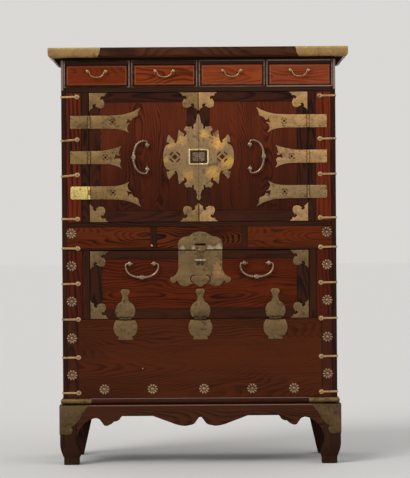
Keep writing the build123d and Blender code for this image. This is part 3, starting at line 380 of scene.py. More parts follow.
side_run = rear_y - rear_deep - leg_y - leg_wide
side_knee = flowing(knee((side_run * 1000 - 26.5) / 2)) / 1000 + (0, leg_top)
across = np.linspace(0, side_run, 240)
low = np.interp(np.minimum(across, side_run - across), side_knee[:, 0], side_knee[:, 1])
side_apron = apron(across + leg_y + leg_wide, low, leg_x)[..., [1, 0, 2]]
across = np.linspace(rear_wide - leg_x, leg_x - rear_wide, 5)
back_apron = apron(across, np.full(5, leg_top - 0.060), rear_y)
boards = (front_apron, 0), (back_apron, 0), (side_apron, 1), (side_apron * (-1, 1, 1), 1)
shells = []
for seed, (board, along) in enumerate(boards, start=11):
    worn = np.where(np.arange(board.shape[1]) == 0, 1.5, 0.1)
    shells.append(grained(stacked(board), along, seed, np.tile(worn, len(board))))
lay("aprons", shells, wood("apron wood", (70, 36, 19), (30, 15, 8), curl=0.03, worn_to=(146, 110, 96)))

# ---- Leg plates
# Sheet brass folded round each front leg and under the moulding, cut to a leaf on both faces and
# held by small domed nails. The brass is old: brown in the hollows, bright where it is rubbed.
sheet = 0.002
face_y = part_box("front_posts")[0].y


def brass(name, bright, brown, rose, tarnish=0.5, gloss=0.40, engraved=0.35, polished=None, spots=()):
    """Aged sheet brass. Bright metal is left in patches among brown and rosy tarnish; fine
    engraved scrolls, the level lines of a cloud, hold dirt, and specks and hammer marks stand
    in the relief. Where the mesh's mark is above 0, and within the spots (x, z, radius), the metal
    is painted bright, for polish and for painted highlights; where the mark or a spot's radius is
    below 0 it is painted dark, for dirt and for a painted shadow."""
    finish = Finish(name, Metallic=0.9)
    step, blend, where = finish.step, finish.blend, finish.place()
    worn, (right, _, up) = finish.split(finish.mark("worn"))[0], finish.split(where)
    clouds, other, blots, specks, hammer, scroll = (
        finish.cloud(where, (cells, cells, cells), *look) for cells, *look in (
            (19, 4, 0.62, 0.6), (31, 3, 0.55), (95, 4, 0.65), (520, 2, 0.6), (110, 1, 0.4),
            (150, 0, 0.5, 1.2)))
    blots, specks = step(blots, 0.45, 0.72), step(specks, 0.62, 0.74)
    cut = 1.0 - step((scroll - 0.5).math("ABSOLUTE"), 0.012, 0.045)
    age = step(clouds + (blots - 0.5) * 0.2, 0.62 - 0.36 * tarnish, 0.80 - 0.24 * tarnish)
    base = blend(age, tint(bright), tint(brown))
    base = blend(step(other, 0.46, 0.66) * 0.55, base, tint(rose))
    for share, dark in ((blots * 0.35, 0.8), (cut * engraved, 0.55), (specks * 0.45, 0.5)):
        base = blend(share, base, tint(brown, dark))
    # The bright share paints polish and painted highlights, the dark share dirt and a painted shadow.
    polish_and_highlight, soil_and_shade = worn + (blots - 0.5) * 0.3, worn * -1
    for x, z, radius in spots:
        off = ((right - x) * (right - x) + (up - z) * (up - z)) ** 0.5
        spot = step(off + (blots - 0.5) * 0.55 * abs(radius), abs(radius), 0.0)
        polish_and_highlight, soil_and_shade = (polish_and_highlight + spot, soil_and_shade) if radius > 0 else (polish_and_highlight, soil_and_shade + spot)
    polish_and_highlight = step(polish_and_highlight, 0.1, 1.0)
    base = blend(polish_and_highlight * 0.85, base, tint(polished or np.minimum(np.multiply(bright, 1.25), 255)))
    base = blend(step(soil_and_shade, 0.0, 1.0) * 0.9, base, tint(brown, 0.45))
    rough = age * 0.16 + blots * 0.08 + specks * 0.12 + cut * 0.1 - polish_and_highlight * 0.08 + (gloss - 0.06)
    height = hammer * 0.6 + (1.0 - specks) * 0.2 + blots * 0.1 - cut * 0.35
    return finish.wear(base, rough, height, 0.00035)


def corners_of(mesh):
    """The corners of a mesh, one row each."""
    rows = np.empty(3 * len(mesh.vertices))
    mesh.vertices.foreach_get("co", rows)
    return rows.reshape(-1, 3)


def cut_sheet(outline, holes=(), thick=sheet, rim=0.0003):
    """Sheet metal (x, z, height) inside an outline and outside its holes: a flat filled curve
    given half of its thickness each way, with the rim rounded."""
    curve = bpy.data.curves.new("sheet", "CURVE")
    curve.dimensions, curve.fill_mode = "2D", "BOTH"
    curve.extrude, curve.bevel_depth, curve.bevel_resolution, curve.offset = thick / 2 - rim, rim, 1, -rim
    for line in (outline, *holes):
        spline = curve.splines.new("POLY")
        spline.points.add(len(line) - 1)
        spline.points.foreach_set("co", np.c_[line, np.zeros(len(line)), np.ones(len(line))].ravel())
        spline.use_cyclic_u = True
    holder = bpy.data.objects.new("sheet", curve)
    mesh = bpy.data.meshes.new_from_object(holder)
    points, faces = corners_of(mesh), [list(face.vertices) for face in mesh.polygons]
    bpy.data.objects.remove(holder)
    bpy.data.curves.remove(curve)
    bpy.data.meshes.remove(mesh)
    return points + (0, 0, thick / 2), faces


def turned(profile, sides, closed=False):
    """A turned shape standing on a sheet: each (radius, height) of the profile swept round."""
    profile = np.asarray(profile, float)
    turn = np.linspace(0, 2 * math.pi, sides, endpoint=False)
    ring = np.stack([np.cos(turn), np.sin(turn), 0 * turn], -1)
    return stacked(profile[:, :1, None] * ring + profile[:, 1:, None] * (0, 0, 1), closed)


def nails(places, radius=0.0016, lift=sheet):
    """Small domed nails at places (x, z) on a sheet, radius (cos, sin) of a quarter turn."""
    swing = np.radians([-20, 8, 32, 58, 90])
    dome, faces = turned(np.c_[radius * np.cos(swing), 0.0008 * np.sin(swing) + lift], 8)
    return [(dome + (x, z, 0), faces) for x, z in places]


def on_front(shells, x, z, flip=1, y=face_y):
    """Puts sheet shapes (x, z, height) on a face that looks out at the front, at depth y."""
    return [(np.c_[x + flip * points[:, 0], y - points[:, 2], z + points[:, 1]], *rest)
            for points, *rest in shells]


def folded(shells, side, x, y, z, inner, outer, levels, radius):
    """Sheet shapes laid on the front and on the end of a front corner (side x, y), and the fold
    between them, from inner behind the faces to outer before them."""
    fold = upright_rings(x - inner, x + outer, y - outer, y + inner, z + np.array(levels), radius)
    ends = [(np.c_[side * (x + points[:, 2]), y + points[:, 0], z + points[:, 1]], *rest)
            for points, *rest in shells]
    return [*on_front(shells, side * x, z, -side, y), *ends, stacked(fold * (side, 1, 1))]


leaf = [(0, 0, 1), (86, 0, 1), (75, -16), (63, -31, 1), (61, -38), (54, -46), (44, -58), (33, -64, 1),
        (35, -68), (38, -72), (36, -80), (31, -86), (20, -88.0), (10, -86), (0, -88, 1)]
leaf = [cut_sheet(flowing(leaf, closed=True) / 1000, thick=0.0015)]
leaf += nails([(0.072, -0.006), (0.040, -0.006), (0.012, -0.006), (0.056, -0.030), (0.030, -0.050),
               (0.028, -0.078), (0.008, -0.074), (0.008, -0.038)], 0.0017, 0.0015)
shells = [shell for side in (1, -1) for shell in
          folded(leaf, side, leg_x, leg_y, leg_top, 0.0008, 0.0015, (-0.088, -0.0875, 0), 0.0010)]
lay("leg_plates", shells, brass("leg brass", (98, 77, 49), (68, 52, 35), (84, 63, 48), gloss=0.46))

# ---- Base moulding and its caps
# A board with a full round nose on a narrower under-board, which leaves a shadow line; brass
# channels are bent over the nose at both front corners and nailed.


def arc(start, stop, count, radius=1.0, x=0.0, z=0.0):
    """Points (x, z) + radius (cos, sin) at even steps between two angles in degrees."""
    turn = np.radians(np.linspace(start, stop, count))
    return np.c_[x + radius * np.cos(turn), z + radius * np.sin(turn)]


def nosed(profile, low, high, corner=0.0015):
    """A profile of (inset, z) carried round the level box of a board; the back isn't inset."""
    inset, z = np.asarray(profile, float).T
    return stacked(upright_rings(low.x + inset, high.x - inset, low.y + inset, high.y, z, corner))


def mitred(section, length, low, high):
    """A section of (inset, z) carried along the front to the right corner of a box, length from
    its end, and on along the side, with a mitre at the corner."""
    inset, z = section.T
    length = length + 0 * inset
    return stacked(np.array([np.c_[high.x - x, low.y + y, z]
                             for x, y in ((length, inset), (inset, inset), (inset, length))]))


nose_z, nose_top = 0.191, 0.1970
nose = np.r_[[(0.009, 0.179), (0.009, 0.182)], (1, 0) - arc(-90, 90, 15) * (1, -1)]
nose[2:] = nose[2:] * (0.0085, 0.009) + (0, nose_z)
moulding = nosed(nose, *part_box("base_moulding"))
worn = np.where(moulding[0][:, 2] > nose_top, 1.4, 0.2)
moulding_wood = wood("moulding wood", (56, 28, 15), (22, 11, 7), worn_to=(138, 104, 92))
lay("base_moulding", [grained(moulding, 0, 21, worn)], moulding_wood)

cap_lo, cap_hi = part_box("plinth_caps")
channel = np.r_[0.0100 * arc(-64, 90, 15), 0.0088 * arc(90, -64, 15)] * (-1, 1) + (0.0100, nose_z)
channel[:, 1] = np.clip(channel[:, 1], 0.182, 0.2)
points, faces = mitred(channel, 0.092, cap_lo, cap_hi)
caps = [(points * (side, 1, 1), faces) for side in (1, -1)]
places = [(x, 0.1945) for x in (0.345, 0.385, -0.345, -0.385)]
caps += on_front(nails(places, lift=0), 0, 0, 1, cap_lo.y + 0.0008)
lay("plinth_caps", caps, brass("cap brass", (124, 99, 60), (82, 63, 40), (102, 78, 56), gloss=0.42))

# ---- Carcass boards
# Sides of framed panels, a back of level boards, and three shelves with the partitions between
# the drawers. Every board has soft, handled arrises.


def plank(lo, hi, seed, soft=0.0011, along=None, rub=-0.7, heart=(0.0, 0.0)):
    """A board between two corners. Each face is a grid of points p, moved to c + soft (p - c) /
    |p - c|, with c the nearest point inside the box less soft; a slow wave keeps it handmade.
    Its arrises carry the given share of wear, and heart is how far off the tree's heart lies."""
    lo, hi = np.array(lo, float), np.array(hi, float)
    half, middle = (hi - lo) / 2, (hi + lo) / 2
    soft = min(soft, 0.4 * half.min())
    marks = []
    for size in half:
        arris = np.array([0, 0.12, 0.45, 1.0]) * soft
        inward = np.r_[arris, soft + min(0.004, (size - soft) / 2)] - size
        between = np.linspace(inward[-1], -inward[-1], max(2, int(size / 0.05)) + 1)[1:-1]
        marks.append(np.r_[inward, between, -inward[::-1]])
    points, faces, start = [], [], 0
    for axis in range(3):
        u, v = (axis + 1) % 3, (axis + 2) % 3
        for side in (-1, 1):
            grid = np.empty((len(marks[u]), len(marks[v]), 3))
            grid[..., u], grid[..., v] = np.meshgrid(marks[u], marks[v], indexing="ij")
            grid[..., axis] = side * half[axis]
            at = start + np.arange(grid[..., 0].size).reshape(grid.shape[:2])
            squares = np.stack([at[:-1, :-1], at[1:, :-1], at[1:, 1:], at[:-1, 1:]], -1)
            faces += squares.reshape(-1, 4).tolist()
            points.append(grid.reshape(-1, 3))
            start += at.size
    points = np.concatenate(points)
    centre = np.clip(points, soft - half, half - soft)
    away = points - centre
    rounded = centre + soft * away / np.maximum(np.linalg.norm(away, axis=1, keepdims=True), 1e-9)
    near = np.sort(np.clip(1 - (half - np.abs(points)) / 0.004, 0, 1), axis=1)
    log = np.random.default_rng(seed)
    order = list(np.argsort(-half, kind="stable"))
    if along is not None:
        order = [along, *[axis for axis in order if axis != along]]
    grain = rounded[:, order] + (0, heart[0], heart[1] + half[order[2]])
    grain += log.uniform(-9, 9), log.uniform(-0.4, 0.4) * half[order[1]], log.uniform(0.012, 0.04)
    wave = np.sin(rounded[:, order[0]] * 21 + seed) * np.sin(rounded[:, order[1]] * 47 + seed)
    rounded[:, order[2]] *= 1 + 0.00012 * (wave - 1) / half.min()
    return middle + rounded, faces, grain, near[:, 1] * rub


def joined(node, seed, *cut, **look):
    """Every board of a node of plain boards, each cut to its own box and with its own grain."""
    corners = corners_of(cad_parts[node].data).reshape(-1, 24, 3)
    ends = enumerate(zip(corners.min(1), corners.max(1)), start=seed)
    return [plank(lo, hi, number, *cut, **look) for number, (lo, hi) in ends]


side_wood = wood("side frame wood", (52, 25, 15), (23, 11, 7), curl=0.018)
panel_wood = wood("side panel wood", (88, 36, 15), (34, 14, 7), 0.008, 0.045)
inner_wood = wood("inner wood", (134, 98, 60), (84, 56, 34), gloss=0.6, mottle=0.35)
for node, finish, *cut in (
    ("side_right", side_wood, 30), ("side_left", side_wood, 40), ("side_panels", panel_wood, 50, 0.0008, 2),
    ("back_boards", inner_wood, 60), ("shelves", inner_wood, 70), ("drawer_partitions", inner_wood, 75),
):
    lay(node, joined(node, *cut), finish)

# ---- Front posts, infills and lower panel
# Dark jambs tenoned between the rails, with strips of red figured wood let in beside them, and
# one wide board across the foot of the front whose figure runs level.
jambs = joined("front_posts", 80, 0.0014)
stile_wood = wood("lower stile wood", (66, 31, 16), (29, 14, 8), 0.008)
lay("front_posts", jambs[:4], dark_wood)
lay("lower_stiles", jambs[4:], stile_wood, node="front_posts")
red_wood = wood("red striped wood", (106, 39, 15), (34, 14, 8), 0.0115, 0.016, 0.85, mottle=0.8)
dull_wood = wood("dull striped wood", (76, 25, 10), (22, 9, 6), 0.0115, 0.016, 1.0, mottle=0.9)
infills, tier_z = joined("post_infills", 90, 0.0008, rub=-1.0, heart=(0.12, 0.02)), 0.7
for name, finish, upper in (("post_infills", red_wood, True), ("lower_infills", dull_wood, False)):
    strips = [strip for strip in infills if (strip[0][0, 2] > tier_z) == upper]
    lay(name, strips, finish, node="post_infills")
low_wood = wood("lower panel wood", (76, 33, 12), (36, 15, 7), 0.008, 0.05, 0.65, mottle=0.7)
lay("lower_panel", joined("lower_panel", 101, 0.0008), low_wood)

# ---- Corner straps
# Narrow brass bars bent round the chest's front edges, each ending in a round head with a point
# and one domed nail. They tie the jambs to the sides.


def mirrored(half, flip=(-1, 1), shared=1):
    """Half of an outline and its mirror image, which share the last point, from mm to metres."""
    return np.r_[half, (half * flip)[len(half) - 1 - shared::-1]] / 1000


def wear_and_light_all(shell, worn):
    """The same shell with one mark all over: below 0 it holds dirt, above 0 it is painted bright, for polish
    and for painted highlights.
    """
    points, faces = shell
    return points, faces, 0 * points, np.full(len(points), worn)


side_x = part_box("side_right")[1].x
head = np.r_[[(0, 2.8)], arc(156, 16, 12, 7.2, 47.4), [(56.0, 0)]]
bar = [cut_sheet(mirrored(head, (1, -1)), thick=0.0023, rim=0.0006)]
bar += [wear_and_light_all(nail, -0.6) for nail in nails([(0.0474, 0)], 0.0032, 0.0021)]
shells = []
for place, left_slope in (
    (1.103963, 0.02), (0.974963, 0.08), (0.868963, 0.10), (0.737963, 0.0), (0.649963, -0.01),
    (0.5435, 0.02), (0.4365, 0.0), (0.32225, 0.02), (0.216, 0.0),
):
    for side, slope in ((1, -0.015), (-1, left_slope)):
        sloped = [(points + slope * points[:, :1] * (0, 1, 0), *rest) for points, *rest in bar]
        shells += folded(sloped, side, side_x, face_y, place - 0.036 * max(slope, 0), 0.0012, 0.0024,
                         (-0.0028, -0.0025, 0.0025, 0.0028), 0.0011)
strap_brass = brass("strap brass", (178, 144, 100), (128, 102, 74), (152, 122, 98), 0.4, 0.36, 0.0)
lay("corner_straps", shells, strap_brass)

# ---- Flower nails
# Cast brass flower heads, each a ring of petals round a ball, driven through the front into the
# carcass. Two rows run down the jambs and one along the foot.
flower_brass = brass("flower brass", (134, 104, 78), (92, 68, 50), (118, 90, 72), engraved=0.0,
                     polished=(146, 119, 98))
# The height over a disc of radius 16.5 mm: a ring of petals |cos(petals t / 2)| round a hollow
# and a ball, with the rim drawn in between the petals. The tops are painted bright as painted
# highlights, the hollow and the gaps dark as painted shade.
petals, radius = 10, 0.0165
share = np.r_[0, np.linspace(0.08, 1, 17)][:, None]
turn = np.linspace(0, 2 * math.pi, petals * 8, endpoint=False)[None, :]
lobe = np.abs(np.cos(petals * turn / 2)) ** 0.55
reach = radius * share * (1 - 0.20 * (1 - lobe) * np.clip(share * 1.8 - 0.8, 0, 1))
ball = np.sqrt(np.clip(1 - (share / 0.34) ** 2, 0, 1))
petal = np.sin(np.pi * np.clip((share - 0.42) / 0.58, 0, 1)) ** 0.6 * lobe
up = np.where(share > 0.98, 0.0, 0.0006 + 0.0034 * ball + 0.0026 * petal)
points, faces = stacked(np.stack([reach * np.cos(turn), reach * np.sin(turn), up], -1))
worn = np.clip(np.maximum(ball, petal) * 1.6 - 0.7, -0.22, 1)
head = points, faces, 0 * points, worn.ravel()
places = [(x, z) for z in (0.6939625, 0.5967315, 0.490, 0.379375, 0.269125) for x in (0.38325, -0.38325)]
places += [(x, 0.226) for x in (-0.287, -0.1425, 0.012, 0.1565, 0.282)]
lay("rosettes", [shell for x, z in places for shell in on_front([head], x, z)], flower_brass, crease=60)

# ---- Frieze
# Two rails and two muntins round three red panels. The middle panel has the mortise that the
# staple of the hasp goes into.
frieze_wood = wood("frieze wood", (92, 37, 10), (26, 10, 5), 0.0044, 0.05, 1.15, mottle=1.0)
lay("frieze_frame", joined("frieze_frame", 110, 0.0012), dark_wood)
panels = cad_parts["frieze_panels"].data
corners, faces = corners_of(panels), np.empty(3 * len(panels.polygons), int)
panels.polygons.foreach_get("vertices", faces)
faces = faces.reshape(-1, 3)
middle, muntins = corners[faces].mean(1)[:, 0], (-1.0, -0.136, 0.136, 1.0)
shells = []
for seed, (low, high) in enumerate(zip(muntins, muntins[1:]), start=120):
    shells.append(grained((corners, faces[(middle > low) & (middle < high)].tolist()), 0, seed))
lay("frieze_panels", shells, frieze_wood)

for name, node, x, z, radius in (
    ("frieze_nail", "frieze_frame", -0.142, 0.6565, 0.0034),
    ("panel_nail", "lower_panel", -0.172, 0.288, 0.0024),
):
    lay(name, on_front(nails([(0, 0)], radius, 0), x, z), strap_brass, node=node)

# ---- Lock
# Sheet brass in two halves: a domed plate on the frieze with the slot for the staple, and a lobed
# plate on the drop front with two curled slits and the barrels that the hasp turns on.


def paired(*places):
    """Each place (x, z) and its mirror image across the middle."""
    return [(side * x, z) for side in (1, -1) for x, z in places]


def oblong(x0, x1, z0, z1):
    return np.array([(x0, z0), (x1, z0), (x1, z1), (x0, z1)])


# On the lower plate the two spots with a radius below 0 are a painted shadow under the knuckles; the spots
# of the upper plate and the hasp's three along its knuckles are painted highlights.
lock_brass, upper_brass, hasp_brass = (
    brass(name, bright, brown, (104, 80, 58), 0.5, gloss, polished=polished, spots=spots)
    for name, bright, brown, gloss, polished, spots in (
        ("lock brass", (120, 97, 62), (84, 67, 44), 0.40, (144, 108, 70),
         [(0.056, 0.570, 0.026), (0.052, 0.596, 0.016), (-0.003, 0.6025, -0.008), (0.009, 0.6025, -0.008)]),
        ("upper lock brass", (120, 97, 62), (84, 67, 44), 0.40, (172, 152, 130),
         [(-0.050, 0.648, 0.012), (-0.017, 0.648, 0.011), (0.033, 0.648, 0.014), (0.060, 0.649, 0.018)]),
        ("hasp brass", (124, 101, 66), (78, 61, 40), 0.36, (190, 166, 140),
         [(-0.005, 0.612, 0.005), (0.006, 0.613, 0.005), (0.016, 0.612, 0.005)])))
lock_x, frieze_z, flap_z = 0.003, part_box("lock_plate_upper")[0].z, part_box("flap_frame")[1].z
dome = flowing([(0, 54, 1), (14, 51.8), (21, 49.5), (26, 45, 1), (32, 41.5), (39, 39.5), (50, 37.5),
                (58, 33), (63.5, 27), (66, 21), (66, 0, 1)])
upper = [cut_sheet(np.r_[dome, (dome * (-1, 1))[:0:-1]] / 1000, [oblong(-16, 16, 9.6, 18.2) / 1000])]
upper += nails(paired((0.060, 0.006), (0.060, 0.024), (0.034, 0.035), (0.024, 0.006), (0.009, 0.045)))
lay("lock_plate_upper", on_front(upper, lock_x, frieze_z + 0.0008), upper_brass)

ear = flowing([(66, -0.8, 1), (66, -35), (66, -50), (67.5, -60), (74, -72), (82, -78.5, 1), (88, -80),
               (91.5, -85.5), (89, -93), (82, -97), (76, -96), (72, -90, 1), (69, -93), (66, -96.5),
               (61, -103), (52, -107), (43, -107.5), (33, -104, 1), (26, -100), (19, -99.5), (10, -104, 1),
               (7, -106), (4, -108), (0, -109, 1)])
curl = np.r_[arc(-82, 98, 14, 13, 18, -86), arc(98, -82, 14, 10, 18, -86)] / 1000
lower = [cut_sheet(mirrored(ear), [curl, curl * (-1, 1)], rim=0.0002)]
lower += nails(paired((0.060, -0.006), (0.060, -0.040), (0.083, -0.088), (0.050, -0.100), (0.024, -0.006),
                      (0.046, -0.070), (0.030, -0.040), (0.005, -0.098)))
hasp_z, hasp_wide, axis_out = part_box("hasp")[0].z + 0.0038, 0.034, 0.0061


def lifted(shell, out, x=0.0, z=0.0):
    return shell[0] + (x, z, out), *shell[1:]


def barrel(low, high, out, radius=0.0038, bore=0.0018):
    """A hinge knuckle along x, turned with eased ends round its bore, its axis out from the sheet."""
    ease = 0.0005
    profile = [(bore, low), (radius - ease, low), (radius, low + ease),
               (radius, high - ease), (radius - ease, high), (bore, high)]
    points, faces = turned(profile, 20, closed=bore > 0)
    return lifted((points[:, [2, 1, 0]], faces), out)


def pin(half, out):
    return barrel(-half, half, out, 0.0017, 0)


def third(width, index, play=0.0002):
    """The ends of one of the three knuckles of a hinge, counted from its low end."""
    low = -width / 2 + index * width / 3
    return low + play * (index > 0), low + width / 3 - play * (index < 2)


# The knuckles are painted bright all over, a painted highlight.
knuckles = [wear_and_light_all(barrel(*third(hasp_wide, index), axis_out), 0.7) for index in range(3)]
for index in (0, 2):
    web = cut_sheet(oblong(*third(hasp_wide, index), -0.0028, 0), thick=axis_out)
    lower.append(lifted(web, 0, 0, hasp_z - flap_z))
lower.append(lifted(pin(0.0165, axis_out), 0, 0, hasp_z - flap_z))
lay("lock_plate_lower", on_front(lower, lock_x, flap_z), lock_brass, "flap")
lay("lock_knuckles", on_front(knuckles[::2], lock_x, hasp_z), hasp_brass, "flap", "lock_plate_lower")

tongue = flowing([(5.3, 0, 1), (5.3, 5, 1), (6.0, 9), (7.6, 15), (12, 24), (15, 31, 1), (15, 43.6, 1)])
hasp = [cut_sheet(mirrored(tongue, shared=0), rim=0.0005), *nails(paired((0.0085, 0.037)), 0.0021)]
button = turned([(0.0052, 0), (0.0052, 0.0008), (0.004, 0.0016), (0.0001, 0.0021)], 16)
hasp = [lifted(shell, 0.0026) for shell in (*hasp, lifted(button, sheet, 0, 0.030))] + knuckles[1:2]
lay("hasp", on_front(hasp, lock_x, hasp_z), hasp_brass, "hasp")
lay("hasp_staple", [plank(*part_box("hasp_staple"), 0, 0.0004, 0)], hasp_brass, "hasp")

# ---- Drop front
# A framed door that swings down: dark stiles and rails flush with one wide red panel whose
# figure runs level in long curves, bound with a brass plate at each corner.
flap_wood = wood("drop front wood", (86, 31, 7), (26, 9, 4), 0.0062, 0.042, 1.0, mottle=0.9)
lay("flap_frame", joined("flap_frame", 131, 0.0014), dark_wood, "flap")
lay("flap_panel", joined("flap_panel", 141, 0.0006), flap_wood, "flap")

hook = [(56, 0, 1), (49.5, 4.0), (45.5, 11.0, 1), (39.5, 10.0), (34.5, 13.0), (33.5, 18.5), (37.5, 20.5),
        (40.5, 18.0, 1), (42.0, 22.0), (45.5, 28), (45.8, 37)]
hook = [(0, 0, 1), *hook, (43.2, 43.2, 1), *[(z, x, *mark) for x, z, *mark in hook[::-1]]]
corner_plate = [cut_sheet(flowing(hook, closed=True, fine=4) / 1000)]
corner_plate += nails([(0.005, 0.005), (0.048, 0.0035), (0.0035, 0.048), (0.026, 0.006), (0.006, 0.026),
                       (0.038, 0.038)], 0.0013)


def corner_set(node):
    """Four corner plates, one turned into each corner of the node's box."""
    lo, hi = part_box(node)
    shells = []
    for x, turn_x in ((lo.x + 0.0007, 1), (hi.x - 0.0007, -1)):
        for z, turn_z in ((lo.z + 0.0005, 1), (hi.z - 0.0005, -1)):
            plate = [(points * (1, turn_z, 1), faces) for points, faces in corner_plate]
            shells += on_front(plate, x, z, turn_x)
    return shells


lay("flap_corner_plates", corner_set("flap_corner_plates"), lock_brass, "flap")

# ---- Gourd hinges of the drop front
# Three hinges cut as gourds: the small bulb and neck on the drop front carry two knuckles and
# the pin, the big bulb and its foot on the lower panel carry the one between.
axis_z, axis_out, tab_low = 0.438, 0.0041, 0.0009
bulb = [(23.8, 4.4, 1), *arc(-37, 66, 12, 30, 0, 23.1)[1:], (10.5, 56), (8.4, 63), (8.6, 68), (11.5, 75),
        (14, 79.6, 1), (13, 84), (9, 88.0, 1), (0, 88.6, 1)]
body = [(27.5, -4.8, 1), *arc(39, -45, 12, 36, 0, -27), (20, -53, 1), (22.7, -63.5, 1), (0, -63.5, 1)]
upper, lower = ([cut_sheet(mirrored(flowing(half, fine=3)))] for half in (bulb, body))
upper += nails([*paired((0.022, 0.010), (0.026, 0.028)), (0, 0.046), (0, 0.083)], 0.0014)
lower += nails([*paired((0.026, -0.010), (0.032, -0.032), (0.018, -0.060)), (0, -0.032)], 0.0014)
for index, leaf, way in ((0, upper, 1), (2, upper, 1), (1, lower, -1)):
    low, high = third(0.037, index)
    tab = oblong(low, high, tab_low * way, 0.007 * way)[::way]
    leaf += [wear_and_light_all(barrel(low, high, axis_out), -0.6), cut_sheet(tab)]
upper.append(pin(0.018, axis_out))
gourd_brass = brass("gourd brass", (118, 95, 61), (88, 70, 46), (102, 80, 57), gloss=0.44)
for node, rides_on, leaf in (("gourd_lower_leaves", "carcass", lower), ("flap_gourd_leaves", "flap", upper)):
    shells = [shell for x in (-0.223, 0.002, 0.227) for shell in on_front(leaf, x, axis_z)]
    lay(node, shells, gourd_brass, rides_on)

# ---- Bail handles and their posts
# Forged brass bails thick in the middle, with a collared knob at the lowest point; their pointed
# ends turn in through the round heads of posts, which stand on feet cut to four petals.


def bail(half, thin, thick, point, knob=0.0):
    """A whole bail from half of its path p: p + r cos t n + min(r, 4.8 mm) sin t h, n across the path
    and h out of its plane. r swells from thin to thick and closes over the length point; knob is
    the radius of a long ball in the middle with a collar ball on either side."""
    line = mirrored(flowing(half, fine=9))
    s = np.r_[0, np.cumsum(np.hypot(*np.diff(line, axis=0).T))]
    even = np.linspace(0, s[-1], 180)
    line = np.c_[np.interp(even, s, line[:, 0]), np.interp(even, s, line[:, 1])]
    off = np.abs(even - s[-1] / 2)
    radius = thin + (thick - thin) * np.cos(np.pi * off / s[-1]) ** 2
    for ball, place, long in ((knob, 0.0, 1.35 * knob), (0.68 * knob, 1.6 * knob, 0.36 * knob)):
        if knob:
            radius = np.maximum(radius, ball * np.sqrt(np.clip(1 - ((off - place) / long) ** 2, 0, 1)))
    tip = np.minimum(np.minimum(even, s[-1] - even) / point, 1)
    radius = (radius * np.sqrt(1 - (1 - tip) ** 2))[:, None]
    tangent = np.gradient(line, axis=0)
    tangent /= np.linalg.norm(tangent, axis=1, keepdims=True)
    turn = np.linspace(0, 2 * math.pi, 12, endpoint=False)
    across = radius * np.cos(turn)
    return stacked(np.stack([line[:, :1] - tangent[:, 1:] * across, line[:, 1:] + tangent[:, :1] * across,
                             np.minimum(radius, 0.0048) * np.sin(turn)], -1))


def post(wide, tall, proud, apart):
    """Two posts of height proud to a bail, apart either way: a foot of four petals, radius
    (1 + cos 4t / 8), a waisted stem and a flattened ball head, wide across and tall outwards."""
    foot = [(1.02, 0), (1.02, 0.0006), (0.95, 0.0014), (0.75, 0.0020), (0.58, 0.0026), (0.52, 0.4 * proud)]
    head = [(0.66, -0.8), (0.94, -0.4), (1, 0), (0.92, 0.34), (0.68, 0.62), (0.34, 0.77),
            (0.0001 / wide, 0.8)]
    profile = [*foot, *[(share, proud + up * tall) for share, up in head]]
    points, faces = turned(np.array(profile) * (wide, 1), 24)
    lobe = 1 + np.cos(4 * np.arctan2(points[:, 1], points[:, 0])) / 8 * (points[:, 2] < 0.0018)
    points[:, :2] *= lobe[:, None]
    return [lifted((points, faces), 0, side * apart) for side in (1, -1)]


large_half = [(25.5, -0.8, 1), (31, 0.0), (37, 0.3), (43.5, 0.0), (47.6, -2.2), (49.0, -8), (47.2, -18),
              (41, -28), (30, -35.5), (15, -40), (0, -41, 1)]
large_bail = lifted(bail(large_half, 0.0026, 0.0040, 0.009, 0.0074), 0.012)
posts = post(0.0071, 0.0054, 0.012, 0.0365)
bail_brass = brass("handle brass", (142, 118, 96), (92, 74, 60), (120, 96, 80), 0.4, 0.32, 0.0)
handle_z, shells = 0.603, []
for name, x in (("left", -0.172), ("right", 0.172)):
    shells += on_front(posts, x, handle_z)
    lay(f"flap_bail_{name}", on_front([large_bail], x, handle_z), bail_brass, f"flap_{name}_handle")
lay("flap_handle_posts", shells, bail_brass, "flap")

# ---- Cupboard doors
# Two framed doors with upright red panels of wild figure, hung on three strap hinges each. The
# frames are of the same dark wood as the jambs, flush with the panels.
door_frame_wood = wood("door frame wood", (60, 28, 16), (25, 12, 8), 0.008, 0.03, mottle=0.8)
# The door panels get darker towards the bottom as painted shade, where less light falls.
door_wood = wood("door panel wood", (96, 40, 18), (40, 15, 9), 0.0046, 0.05, mottle=0.8, dim=(0.72, 1.06))
door_mid, hinge_x = 0.9219625, 0.3285
# Two straps in mm from the joint: a forked one with a long upper tip, and one with even tips.
forked = [(4.4, 19.5, 1), (59, 19.5, 1), (106, 23.26), (132, 30.78), (156, 43, 1), (150, 34), (147.5, 25, 1),
          (146.5, 19), (131, 10), (128, 4, 1), (121, 5.5), (117, 10.5, 1), (115, 2.5), (112, -5, 1),
          (120, -3), (127, -2.5, 1), (118, -9.5), (114.5, -18.5, 1), (116, -25.5), (121, -33.5, 1),
          (107, -26.5), (87, -21.18), (59, -19.5, 1), (4.4, -19.5, 1)]
even = [(4.4, 19.5, 1), (37, 19.5, 1), (49, 21.9), (75, 26.7), (99, 34.5, 1), (93, 25.5), (90.5, 16.5, 1),
        (89.5, 10.5), (94, 10), (91, 4, 1), (84, 5.5), (80, 10.5, 1), (78, 2.5), (75, -5, 1), (83, -3),
        (90, -2.5, 1), (96, -10.5), (92.5, -19.5, 1), (94, -26.5), (99, -34.5, 1), (85, -27), (65, -21.3),
        (37, -19.5, 1), (4.4, -19.5, 1)]


